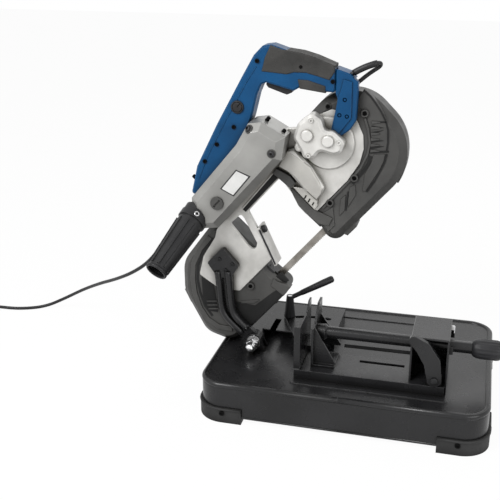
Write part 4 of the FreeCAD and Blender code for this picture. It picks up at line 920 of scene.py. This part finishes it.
# raised face of the handle bracket
bracketPlates = {
    "bracketFace": {
        "finish": "handleBlue", "depths": (-0.0402, -0.0370), "bevel": 0.0010,
        "outline": [(0.949, 0.424), (0.962, 0.396), (0.872, 0.316), (0.802, 0.310), (0.804, 0.336),
                    (0.888, 0.394), (0.918, 0.406)]},
}
addPlates(bracketPlates)

# rim at the boot's mouth, and the ring of the screw that holds its collar
bootLine = {"start": (0.256, 0.482, -0.060), "end": (0.079, 0.444, -0.168)}
bootRim = {
    "finish": "blackRubber", "hollow": True, "smooth": True, "sides": 40,
    "profile": [(-0.0050, 0.0162), (-0.0050, 0.0191), (-0.0035, 0.0203), (-0.0006, 0.0203), (0.0008, 0.0191),
                (0.0008, 0.0172), (0.0, 0.0162)],
}
bootScrewRing = {
    "finish": "chromeSteel", "hollow": True, "smooth": False, "sides": 32,
    "share": 0.13,
    "out": 0.0258,
    "facing": (0.481, -0.637, 0.602),
    "profile": [(-0.003, 0.0026), (-0.003, 0.0048), (0.0012, 0.0048), (0.0018, 0.0041), (0.0018, 0.0031),
                (0.0012, 0.0026)],
}


def addBootTrim(line, rim, ring):
    start = onSaw(*line["start"])
    run = onSaw(*line["end"]) - start
    addTurned("bootRim", start + run, run, rim)
    facing = Vector(ring["facing"]).normalized()
    addTurned("bootScrewRing", start + run * ring["share"] + facing * ring["out"], facing, ring)


addBootTrim(bootLine, bootRim, bootScrewRing)

# rubber of the grip: round the outer edge, short of the blue corner, with a strip under the fingers
gripRubber = {
    "pads": [
        [(0.862, 0.679), (0.878, 0.641), (0.915, 0.586), (0.937, 0.540), (0.961, 0.474), (0.944, 0.460),
         (0.913, 0.456), (0.895, 0.494), (0.877, 0.529), (0.849, 0.561), (0.828, 0.574), (0.800, 0.612),
         (0.776, 0.644), (0.818, 0.666)],
        [(0.842, 0.536), (0.864, 0.508), (0.890, 0.452), (0.872, 0.436), (0.823, 0.510)],
    ],
    "depths": (-0.0397, -0.0003),
    "bevel": 0.0022,
}


def addGrip(setup):
    # each pad grows from the middle of the handle to both sides
    middle = sum(setup["depths"]) / 2
    shape = bmesh.new()
    for pad in setup["pads"]:
        for side in setup["depths"]:
            growPlate(shape, pad, side, middle, setup["bevel"])
    grip = addPiece("gripRubber", shape, "gripGrey")
    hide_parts("grip_cover")


addGrip(gripRubber)

# seam ridge along the handle's back member, and small black fasteners with the ways they face
handleSeam = {
    "finish": "handleBlue", "width": 0.0016, "depths": (-0.0387, -0.0370), "bevel": 0.0003,
    "lines": [[(0.330, 0.560), (0.420, 0.592), (0.560, 0.626), (0.720, 0.660), (0.776, 0.668)]],
}
smallFasteners = {
    "spots": [(0.318, 0.574, -0.030, (-0.755, 0, 0.656)), (0.672, 0.520, -0.045, (0.656, 0, 0.755)),
              (0.681, 0.452, -0.050, (0.656, 0, 0.755)), (0.880, 0.555, -0.0345, toward)],
    "profile": [(-0.006, 0.0036), (0.0045, 0.0036), (0.0060, 0.00252)],
    "sides": 24,
}


def addFasteners(setup):
    shape = bmesh.new()
    for *spot, axis in setup["spots"]:
        growTurned(shape, onSaw(*spot), axis, setup["profile"], setup["sides"])
    addPiece("smallFasteners", shape, "slotShade")


addBars("handleSeam", handleSeam)
addFasteners(smallFasteners)
print("saw pieces on")

# stand: rolled bead round the tray's top, rim along its foot, lips on the rubber feet, dark strip of painted
# shade under the screw
standTrim = {
    "tray": "base_tray",
    "corner": 0.045,
    "cornerSteps": 12,
    "tubeSides": 14,
    "beadInset": 0.0045,
    "beadRadius": 0.0055,
    "rimInset": 0.0008,
    "rimRadius": 0.0024,
    # each foot and the side of the tray, along x and y, that it stands on
    "feet": {
        "foot_near_left": (-1, -1),
        "foot_near_right": (1, -1),
        "foot_far_left": (-1, 1),
        "foot_far_right": (1, 1),
    },
    "footCorner": 0.049,
    "lipInset": 0.0012,
    "lipRadius": 0.0026,
    "slot": [(0.020, 0.011), (0.144, 0.012), (0.143, 0.025), (0.019, 0.023)],
    "shadeStripBelow": 0.0025,
    "shadeStripRise": 0.0010,
}


def nodeBox(node):
    return [Vector(corner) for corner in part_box(node)]


def quarterTurn(setup):
    # degrees round a corner
    steps = setup["cornerSteps"]
    return [90 * i / steps for i in range(steps + 1)]


def roundedLoop(low, high, inset, height, setup):
    # points round a rectangle with round corners, starting and ending in the middle of a side
    left, right = low.x + inset, high.x - inset
    near, far = low.y + inset, high.y - inset
    radius = setup["corner"] - inset
    points = [Vector(((left + right) / 2, near, height))]
    turns = [((right - radius, near + radius), -90), ((right - radius, far - radius), 0),
             ((left + radius, far - radius), 90), ((left + radius, near + radius), 180)]
    for (x, y), start in turns:
        for turn in quarterTurn(setup):
            angle = math.radians(start + turn)
            points.append(Vector((x + radius * math.cos(angle), y + radius * math.sin(angle), height)))
    points.append(points[0].copy())
    return points


def lipLine(foot, sideX, sideY, setup):
    # points along the outer top edge of a foot, from one end round its corner to the other
    low, high = nodeBox(foot)
    outX, endX = (high.x, low.x) if sideX > 0 else (low.x, high.x)
    outY, endY = (high.y, low.y) if sideY > 0 else (low.y, high.y)
    outX -= sideX * setup["lipInset"]
    outY -= sideY * setup["lipInset"]
    radius = setup["footCorner"] - setup["lipInset"]
    height = high.z - setup["lipRadius"]
    points = [Vector((endX, outY, height))]
    for turn in quarterTurn(setup):
        angle = math.radians(turn)
        x = outX - sideX * radius * (1 - math.sin(angle))
        y = outY - sideY * radius * (1 - math.cos(angle))
        points.append(Vector((x, y, height)))
    points.append(Vector((outX, endY, height)))
    return points


def addStandTrim(setup):
    low, high = nodeBox(setup["tray"])
    beadLine = roundedLoop(low, high, setup["beadInset"], high.z - setup["beadInset"], setup)
    rimLine = roundedLoop(low, high, setup["rimInset"], low.z + setup["rimRadius"], setup)
    tubes = [("trayBead", beadLine, setup["beadRadius"], "blackSteel"),
             ("trayRim", rimLine, setup["rimRadius"], "blackSteel")]
    for number, (foot, sides) in enumerate(setup["feet"].items(), 1):
        tubes.append(("footLip" + str(number), lipLine(foot, *sides, setup), setup["lipRadius"], "footRubber"))
    for name, line, radius, finish in tubes:
        dress(tubeAlong(name, line, radius, setup["tubeSides"]), finish, "stand")
    # dark strip under the screw: painted shade behind the vise bed
    shape = bmesh.new()
    corners = [Vector((x, y, high.z - setup["shadeStripBelow"])) for x, y in setup["slot"]]
    growPrism(shape, corners, Vector((0, 0, setup["shadeStripRise"])), 0)
    addPiece("trayShadeStrip", shape, "slotShade", "stand")


addStandTrim(standTrim)

# bright nut on the upper bolt of the screw's bracket
bracketNut = {
    "finish": "chromeSteel", "hollow": False, "smooth": False, "sides": 6,
    "inset": (0.001, 0.020, 0.011),
    "profile": [(0, 0.0075), (0.0056, 0.0075), (0.0070, 0.0060)],
}
nutSpot = nodeBox("screw_bracket")[1] - Vector(bracketNut["inset"])
addTurned("bracketNut", nutSpot, (1, 0, 0), bracketNut, "stand")

# fluted knob in place of the plain one, its profile in shares of its length and radius
knobGrip = {
    "length": 0.050,
    "profile": [(0.0, 0.62), (0.05, 0.80), (0.16, 0.93), (0.30, 1.0), (0.82, 1.0), (0.93, 0.92), (0.98, 0.78),
                (1.0, 0.55)],
    "flutes": 14,
    "fluteSides": 6,
    "fluteDepth": 0.06,
    "fluteSpan": (0.2, 0.9),
}


def addKnob(setup):
    low, high = nodeBox("hand_knob")
    middle = (low + high) / 2
    radius = (high.z - low.z) / 2
    length = min(setup["length"], high.x - low.x)
    sides = setup["flutes"] * setup["fluteSides"]
    shape = bmesh.new()
    rings = []
    for share, size in setup["profile"]:
        ring = []
        for i in range(sides):
            angle = 2 * math.pi * i / sides
            out = size * radius
            if setup["fluteSpan"][0] < share < setup["fluteSpan"][1]:
                out *= 1 - setup["fluteDepth"] * (0.5 - 0.5 * math.cos(setup["flutes"] * angle)) ** 2
            y, z = middle.y + out * math.cos(angle), middle.z + out * math.sin(angle)
            ring.append(shape.verts.new((low.x + length * share, y, z)))
        rings.append(ring)
    joinRings(shape, rings)
    knob = addPiece("knobGrip", shape, "knobBlack", "vise_screw_body", smooth=True)
    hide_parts("hand_knob")


addKnob(knobGrip)

# thicker grip on the arm of the lock lever, which ends past the middle of the arm's round end
leverGrip = {
    "finish": "knobBlack", "hollow": False, "smooth": True, "sides": 32,
    "armLine": (0.07518, 0.02736, 0.036),
    "armRadius": 0.0055,
    "back": 0.0645,
    "profile": [(0, 0.004896), (0.003, 0.00544), (0.049, 0.0068), (0.066, 0.0068), (0.0688, 0.00544),
                (0.070, 0.00306)],
}
armLine = Vector(leverGrip["armLine"]).normalized()
armEnd = nodeBox("lock_lever")[1] - Vector([leverGrip["armRadius"]] * 3)
addTurned("leverGrip", armEnd - armLine * leverGrip["back"], armLine, leverGrip, "lock_lever_body")
print("stand pieces on")

# pale floor and soft studio light
studio = {
    "floorSize": 14,
    "floorTone": (0.98, 0.98, 0.98),
    "floorRough": 0.95,
    "bounceTone": (0.80, 0.80, 0.80),
    "floorWhite": 0.96,  # how much of the floor is plain white where it is seen
    "skyLevels": (0.28, 1.0),
    "lamps": [
        {"name": "keyLamp", "place": (-1.1, -1.5, 1.8), "size": 1.1, "watts": 52},
        {"name": "fillLamp", "place": (1.7, -1.5, 0.8), "size": 1.6, "watts": 22},
        {"name": "rimLamp", "place": (0.4, 1.5, 2.0), "size": 1.6, "watts": 14},
    ],
    "aim": (0.0, 0.0, 0.3),
}


def seenRays(tree):
    # 1 for what the camera sees, also in a reflection or through a clear piece
    rays = tree.nodes.new("ShaderNodeLightPath")
    seen = rays.outputs["Is Camera Ray"]
    for kind in ("Is Glossy Ray", "Is Transmission Ray"):
        seen = joined(tree, "MAXIMUM", seen, rays.outputs[kind])
    return seen


def addFloor(setup):
    half = setup["floorSize"] / 2
    mesh = bpy.data.meshes.new("studioFloor")
    corners = [(-half, -half, 0), (half, -half, 0), (half, half, 0), (-half, half, 0)]
    mesh.from_pydata(corners, [], [(0, 1, 2, 3)])
    floor = bpy.data.objects.new("studioFloor", mesh)
    material = bpy.data.materials.new("studioPaper")
    material.use_nodes = True
    tree = material.node_tree
    nodes, links = tree.nodes, tree.links
    paper = nodes["Principled BSDF"]
    paper.inputs["Roughness"].default_value = setup["floorRough"]
    paper.inputs["Specular IOR Level"].default_value = 0.0
    glow = nodes.new("ShaderNodeEmission")
    glow.inputs["Color"].default_value = (*white, 1)
    # nearly plain white where it is seen, with a trace of the object's shadow
    seen = seenRays(tree)
    whiteShare = spread(tree, seen, (0, 1), (0, setup["floorWhite"]))
    tone = nodes.new("ShaderNodeMix")
    tone.data_type = "RGBA"
    tone.inputs["A"].default_value = (*setup["bounceTone"], 1)
    tone.inputs["B"].default_value = (*setup["floorTone"], 1)
    links.new(seen, tone.inputs["Factor"])
    links.new(tone.outputs["Result"], paper.inputs["Base Color"])
    blend = nodes.new("ShaderNodeMixShader")
    links.new(whiteShare, blend.inputs["Fac"])
    links.new(paper.outputs["BSDF"], blend.inputs[1])
    links.new(glow.outputs["Emission"], blend.inputs[2])
    links.new(blend.outputs["Shader"], nodes["Material Output"].inputs["Surface"])
    mesh.materials.append(material)
    scene.collection.objects.link(floor)


def addLamps(setup):
    for lamp in setup["lamps"]:
        lampData = bpy.data.lights.new(lamp["name"], "AREA")
        lampData.size = lamp["size"]
        lampData.energy = lamp["watts"]
        light = bpy.data.objects.new(lamp["name"], lampData)
        light.location = lamp["place"]
        beam = Vector(setup["aim"]) - Vector(lamp["place"])
        light.rotation_euler = beam.to_track_quat("-Z", "Y").to_euler()
        scene.collection.objects.link(light)


def addSky(setup):
    # white where the camera or a reflection sees it, softer as light on the object
    world = bpy.data.worlds.new("studioSky")
    scene.world = world
    world.use_nodes = True
    tree = world.node_tree
    background = tree.nodes["Background"]
    background.inputs["Color"].default_value = (*white, 1)
    level = spread(tree, seenRays(tree), (0, 1), setup["skyLevels"])
    tree.links.new(level, background.inputs["Strength"])


addFloor(studio)
addLamps(studio)
addSky(studio)
print("studio lit")
